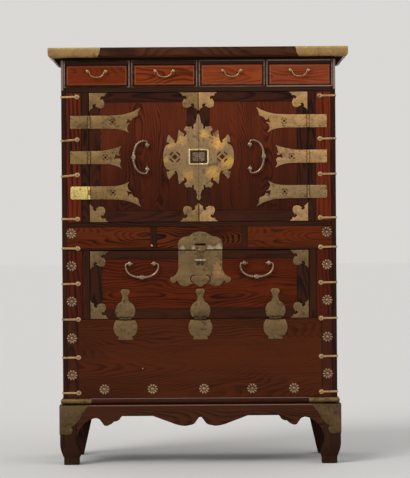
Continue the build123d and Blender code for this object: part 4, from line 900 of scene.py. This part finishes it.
def lozenge(x, size, slot):
    """Five piercings: a small square on its corner, and a slot along each of its sides."""
    square, holes = oblong(-1, 1, -1, 1), []
    bar = square * (slot / 2, size * 0.58) + (size * 1.2, 0)
    for hole, degrees in ((square * size / 2, 45), (bar, 45), (bar, 135), (bar, 225), (bar, 315)):
        c, s = math.cos(math.radians(degrees)), math.sin(math.radians(degrees))
        holes.append((hole @ [[c, s], [-s, c]] + (x, 0)) / 1000)
    return holes


def on_side(shell):
    """The same shape turned on its side, x for z."""
    return shell[0][:, [1, 0, 2]], *shell[1:]


straps = []
for line, reach, short_reach, turn_z in ((forked, 156, 121, 1), (even, 99, 99, 1), (forked, 156, 121, -1)):
    outline = flowing(line, closed=True, fine=5) / 1000
    leaf = [cut_sheet(outline, lozenge(short_reach - 50, 6.8, 2.4))]
    leaf += nails([(0.009, 0.014), (0.009, -0.014), (0.009, 0), (0.044, 0.014), (0.044, -0.014),
                   ((short_reach - 14) / 1000, -0.020), ((reach - 16) / 1000, 0.024)], 0.0013)
    straps.append([(points * (1, turn_z, 1), faces) for points, faces in leaf])
knuckles, loose = [], []
for index, leaf in ((0, knuckles), (2, knuckles), (1, loose)):
    low, high = third(0.039, index)
    leaf += [on_side(barrel(low, high, axis_out)), cut_sheet(oblong(tab_low, 0.006, low, high))]
knuckles.append(on_side(pin(0.0190, axis_out)))
knuckles += nails([(x, z) for x in (0.012, 0.050) for z in (0.013, -0.013)] + [(0.031, 0)], 0.0013)
fixed_leaves = []
for radius in (1.2, 5.5):
    half = np.r_[[(4.4, 19.4)], arc(90, 0, 6, radius, 56.4 - radius, 19.4 - radius)]
    fixed_leaves.append([cut_sheet(mirrored(half, (1, -1), 0)), *knuckles])
hinge_levels = [door_mid + step for step in (0.106, 0.0, -0.106)]
# The right copy is painted lighter than the left: painted light falling on the right door's brass.
left_brass = brass("hinge brass left", (142, 112, 70), (104, 82, 54), (122, 93, 68))
lit_right_brass = brass("hinge brass right", (182, 142, 92), (132, 103, 70), (156, 120, 92), 0.45, 0.38)
new_brass = brass("newer brass", (226, 202, 122), (176, 148, 84), (206, 172, 112), 0.4, 0.36, 0.7)
dull_brass = brass("dull hinge brass", (146, 118, 80), (108, 86, 60), (132, 104, 78), gloss=0.42)
for name, side, levels, metal, leaf in (
    ("right", 1, hinge_levels[:2], lit_right_brass, fixed_leaves[0]),
    ("right_lowest", 1, hinge_levels[2:], dull_brass, fixed_leaves[1]),
    ("left", -1, hinge_levels[:2], left_brass, fixed_leaves[0]),
    ("left_lowest", -1, hinge_levels[2:], new_brass, fixed_leaves[1]),
):
    shells = [shell for z in levels for shell in on_front(leaf, side * hinge_x, z, side)]
    lay(f"door_hinge_leaves_{name}", shells, metal, node="door_hinge_leaves")

# ---- Flower plate, lock rim and handles of the doors
# The pierced plate across the joint is sawn in two with the doors; a raised rim and a boss are
# riveted over it. Each door has one large bail that hangs sideways on its posts.
petal = [(0, 132, 1), (3.6, 124), (5.8, 114), (7.2, 106), (9, 101), (14, 97.5, 1), (15.2, 92), (14.2, 87),
         (16.2, 83.6), (19, 85), (20.4, 92, 1), (26, 90.5), (31, 91), (36, 92.6, 1), (40.5, 87),
         (43.6, 80.4, 1), (38, 76.5), (36, 71), (38, 65), (42, 62), (44, 63.4), (42.5, 69.5, 1), (50, 74),
         (58.5, 82, 1), (60.2, 76), (61.6, 66), (62.4, 56), (65, 46.5), (68.5, 42), (72.4, 43), (71, 49, 1),
         (78, 54.5), (83, 60.5), (88, 67.5, 1), (92, 62), (94.5, 54), (95.6, 43.5, 1), (91, 43.6),
         (87.4, 41.4), (89.6, 37.8), (95, 37, 1), (101.5, 28), (105, 15), (105.9, 4), (105.9, 0, 1)]
arrow = [(0, 132, 1), (3.2, 127.5), (7.4, 120.5, 1), (5.0, 117.5), (5.6, 112)]
foot = flowing([*arrow, *petal[3:]], fine=4) * (1, -1)
plate_half = np.r_[flowing(petal, fine=4), foot[-2::-1]] / 1000
plate_half[:, 0] = np.maximum(plate_half[:, 0], 0.0003)
places = [(0.0025, 0.116), (0.029, 0.086), (0.056, 0.072), (0.086, 0.059), (0.096, 0.026), (0.054, 0.040)]
plate = [cut_sheet(plate_half, lozenge(71, 12, 4))]
plate += nails([*places, (0.099, 0.0), *[(x, -z) for x, z in places]], 0.0015)


def half_oblong(width, height, radius):
    """Half of a rectangle from the joint out, with its two outer corners rounded."""
    half = np.r_[[(0.3, height / 2)], arc(90, 0, 7, radius, width / 2 - radius, height / 2 - radius)]
    return mirrored(half, (1, -1), 0)


rim = [cut_sheet(np.r_[half_oblong(61, 48, 6), half_oblong(50.5, 38.5, 2.5)[::-1]], thick=0.005, rim=0.0017)]
# A thin dark sheet inside the rim, painted shade in the recess.
recess = [cut_sheet(half_oblong(51, 39, 2.5), thick=0.0006)]
boss = [cut_sheet(half_oblong(36, 28, 4), thick=0.0035, rim=0.0012)]
boss += nails([(0.0135, 0.0095), (0.0135, -0.0095), (0.005, 0.0)], 0.0026, 0.0035)
rim_brass = brass("rim brass", (220, 194, 142), (150, 120, 78), (190, 160, 120), 0.35, 0.28, 0.0)
# The recess brass is dark as painted shade.
recess_shade_brass = brass("lock recess brass", (70, 54, 38), (42, 32, 22), (56, 41, 32), gloss=0.5)
boss_brass = brass("lock boss brass", (128, 106, 86), (72, 56, 42), (108, 86, 70), engraved=1.0)
for name, side, metal, lowest, gold, spots in (
    ("left", -1, left_brass, left_brass, (186, 144, 82),
     [(-0.053, 0.972, 0.022), (-0.083, 0.957, 0.016), (-0.032, 0.868, 0.026), (-0.098, 0.915, 0.014)]),
    ("right", 1, lit_right_brass, dull_brass, (204, 154, 80),
     [(0.018, 0.990, 0.020), (0.060, 0.966, 0.034), (0.044, 0.874, 0.030), (0.088, 0.905, 0.030)]),
):
    door, handle_x = f"door_{name}", side * 0.154
    lay(f"{door}_frame", joined(f"{door}_frame", 150 + side, 0.0014), door_frame_wood, door)
    lay(f"{door}_panel", joined(f"{door}_panel", 161 + side, 0.0006, 2), door_wood, door)
    lay(f"{door}_corner_plates", corner_set(f"{door}_corner_plates"), metal, door)
    for number, z, leaf, strap_metal in zip((1, 2, 3), hinge_levels, straps, (metal, metal, lowest)):
        shells = on_front([*leaf, *loose], side * hinge_x, z, -side)
        lay(f"{door}_strap_{number}", shells, strap_metal, door, f"{door}_straps")
    plate_brass = brass(f"door plate brass {name}", (146, 118, 80), (110, 88, 62), (146, 112, 84),
                        engraved=0.25, polished=gold, spots=spots)
    for piece, shells, finish, out in (
        ("flower", plate, plate_brass, 0), ("rim", rim, rim_brass, sheet),
        ("recess", recess, recess_shade_brass, sheet), ("boss", boss, boss_brass, sheet),
    ):
        shells = on_front([lifted(shell, out) for shell in shells], 0, door_mid, side)
        lay(f"{door}_{piece}", shells, finish, door, f"{door}_lock_plate")
    lay(f"{door}_handle_posts", on_front(map(on_side, posts), handle_x, door_mid), bail_brass, door)
    shells = on_front([on_side(large_bail)], handle_x, door_mid, -side)
    lay(f"{door}_bail", shells, bail_brass, f"{door}_handle")

# ---- Drawer frame
# Dark rails and dividers round the four drawers, with a half-round bead laid round every opening
# and up both corners. The beads are painted pale as painted highlights, palest on the upright
# runs and the corners, where the light falls from the sides.
gap = 0.001
openings = [(lo.x - gap, hi.x + gap) for lo, hi in (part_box(f"drawer_{number}") for number in range(1, 5))]
frame_lo, frame_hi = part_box("drawer_frame")
rail_z, drawer_z, top_rail_z, board_z = frame_lo.z, 1.1359625, 1.1999625, frame_hi.z
inner_x, behind_y = openings[-1][1], frame_hi.y
boards = [(-inner_x, inner_x, face_y, rail_z, drawer_z),
          (-inner_x, inner_x, face_y, top_rail_z, board_z - 0.004),
          (-inner_x, inner_x, face_y + 0.004, board_z - 0.005, board_z)]
boards += [(left[1], right[0], face_y, drawer_z, top_rail_z) for left, right in zip(openings, openings[1:])]
shells = [plank((x0, y, z0), (x1, behind_y, z1), seed, 0.0010)
          for seed, (x0, x1, y, z0, z1) in enumerate(boards, start=180)]
swing = np.linspace(0, math.pi, 9)
bulge = 0.002 * np.sin(swing) ** 0.7


def bead_ring(x0, x1, z0, z1, rub):
    """A half-round bead carried round an opening, mitred at each corner; the upright runs are
    painted palest as painted highlights, and the level ones by the share given."""
    out = 0.002 - 0.002 * np.cos(swing)
    mitre, stations = 0.006, []
    for x, z, in_x, in_z in ((x0, z0, 1, 1), (x1, z0, -1, 1), (x1, z1, -1, -1), (x0, z1, 1, -1)):
        sides = [(x, z + mitre * in_z, in_x, 0, 0.95), (x + mitre * in_x, z, 0, in_z, rub)]
        before, after = sides[::in_x * in_z]
        stations += [before, (x, z, in_x, in_z, 0.8), after]
    rings = [np.c_[x - in_x * out, face_y - bulge, z - in_z * out] for x, z, in_x, in_z, _ in stations]
    return stacked(np.array(rings), closed=True), np.repeat([station[4] for station in stations], len(out))


# Each bead's level runs take the share listed here as painted highlights.
for seed, ((x0, x1), rub) in enumerate(zip(openings, (0.5, 0.65, 0.85, 1.3)), start=190):
    ring, worn = bead_ring(x0 - 0.0018, x1 + 0.0018, drawer_z - 0.001, top_rail_z + 0.009, rub)
    shells.append(grained(ring, 0, seed, worn))
# The corner beads are painted palest of all, a painted highlight.
for side in (1, -1):
    upright = [np.c_[side * (side_x - 0.0035 + 0.0035 * np.cos(swing)), face_y - bulge, np.full(9, z)]
               for z in (rail_z + 0.007, board_z - 0.007)]
    shells.append(grained(stacked(np.array(upright)), 2, 196 + side, 1.15))
bead_wood = wood("drawer frame wood", (56, 34, 22), (24, 14, 10), 0.005, 0.015, gloss=0.36,
                 worn_to=(160, 138, 124))
lay("drawer_frame", shells, bead_wood)

# ---- Drawers
# Four small drawers with orange-red fronts, each with a raised field inside a narrow rebate, and
# boxes of thin pale boards behind; each has one small bail on two round posts.
# Each row of the front's profile is (inset, depth, mark) in mm; the marks below 0 darken the front's edges
# and its rebate as a painted shadow, and those above 0 pale the edge of the field.
field = np.array([(0.4, 18.0, -1), (0, 17.6, -1), (0, 2.4, -1), (1.2, 1.6, -0.6), (3.6, 1.5, -0.3),
                  (4.2, 0.7, 0.9), (5.2, 0.15, 1.0), (6.6, 0.0, 0.0)])
inset, deep, worn = field[:, 0] / 1000, field[:, 1] / 1000, np.repeat(field[:, 2], 16)
small_half = [(30.5, 0, 1), (26, 0), (23.2, -1.2), (21.6, -4.5), (20, -9), (15.5, -14), (8, -17.3),
              (0, -18, 1)]
small_bail = lifted(bail(small_half, 0.0020, 0.0024, 0.004), 0.009)
small_posts = post(0.0054, 0.0036, 0.009, 0.0275)
pull_brass = brass("pull brass", (166, 134, 94), (112, 88, 62), (140, 110, 82), 0.4, 0.32, 0.0)
pull_z, box_y, back, board = (drawer_z + top_rail_z) / 2 + 0.0125, face_y + 0.018, face_y + 0.345, 0.008
tones = (116, 44, 14), (140, 57, 19), (142, 64, 30), (142, 64, 34)
for number, (x0, x1), tone in zip((1, 2, 3, 4), openings, tones):
    drawer = f"drawer_{number}"
    front_wood = wood(f"drawer front wood {number}", tone, (62, 23, 9), 0.005, 0.03, 0.7, mottle=0.45,
                      worn_to=(160, 120, 96))
    x0, x1, z0, z1 = x0 + gap, x1 - gap, drawer_z + gap, top_rail_z - gap
    rings = upright_rings(x0 + inset, x1 - inset, z0 + inset, z1 - inset, face_y + deep, 0.0012)
    front = grained(stacked(rings[..., [0, 2, 1]]), 0, 204 - number, worn)
    lay(drawer, [front], front_wood, drawer)
    low, high, in0, in1, stop = drawer_z + 0.0003, z1 - 0.008, x0 + board, x1 - board, back - board
    box = [((x0, box_y, low), (in0, back, high)), ((in1, box_y, low), (x1, back, high)),
           ((in0, stop, low), (in1, back, high)), ((in0, box_y, low), (in1, stop, low + 0.005))]
    shells = [plank(*corners, seed, 0.0006) for seed, corners in enumerate(box, start=210 + 5 * number)]
    lay(f"{drawer}_box", shells, inner_wood, drawer, drawer)
    middle = (x0 + x1) / 2
    lay(f"{drawer}_posts", on_front(small_posts, middle, pull_z), pull_brass, drawer)
    lay(f"{drawer}_bail", on_front([small_bail], middle, pull_z), pull_brass, f"{drawer}_handle")

# ---- Top board and its corner plates
# One thick board whose lower edge is rounded at the front and the ends, with sheet brass bent
# round both front corners and nailed along its edges.
top_lo, top_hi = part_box("top_board")
nose, top_sheet, low, high = 0.0115, 0.0015, top_lo.z, top_hi.z
profile = [(0.0135, low + 0.0012), (0.0130, low), *arc(270, 180, 10, nose, nose, low + nose),
           (0, high - 0.0015), (0.0004, high - 0.0005), (0.0015, high)]
top_wood = wood("top board wood", (76, 43, 25), (30, 16, 9), 0.009, 0.04, gloss=0.38)
lay("top_board", [grained(nosed(profile, top_lo, top_hi), 0, 230, 0.2)], top_wood)
# A thin sheet of darker wood without gloss under the top board paints the shade beneath its overhang.
under_lo = top_lo.x + 0.0136, top_lo.y + 0.0136, low
under_hi = top_hi.x - 0.0136, top_hi.y - 0.0002, low + 0.0013
under = plank(under_lo, under_hi, 231, 0.0001, 0, 0.0)
underside_shade_wood = wood("raw top board wood", (58, 34, 22), (26, 15, 10), 0.0045, 0.03, sheen=0.0)
lay("top_board_underside", [under], underside_shade_wood, node="top_board")

# The free ends of each plate slope back under the nose, and its upper edge is polished.
plate_lo, plate_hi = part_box("top_corner_plates")
outer, centre_z = nose + top_sheet, low + nose
start = 270 - math.degrees(math.acos(nose / outer))
section = np.r_[arc(start, 180, 9, outer, outer, centre_z),
                [(0, high - 0.008), (0, high), (top_sheet, high)], arc(180, 270, 9, nose, outer, centre_z)]
slope = 0.0115 * np.clip((low + 0.0175 - section[:, 1]) / 0.0175, 0, 1)
points, faces = mitred(section, 0.158 - slope, plate_lo, plate_hi)
worn = np.tile(np.clip((section[:, 1] - high) / 0.016 + 0.8, 0, 1), 3)
shells = [(points * (side, 1, 1), faces, 0 * points, worn) for side in (1, -1)]
places = paired(*[(plate_hi.x - x, high - 0.004) for x in (0.150, 0.120, 0.090, 0.060, 0.030, 0.008)])
shells += on_front(nails(places, 0.0013, -0.0007), 0, 0, 1, plate_lo.y)
top_brass = brass("top plate brass", (166, 132, 82), (118, 92, 62), (146, 110, 78), gloss=0.42,
                  polished=(214, 192, 118))
lay("top_corner_plates", shells, top_brass)
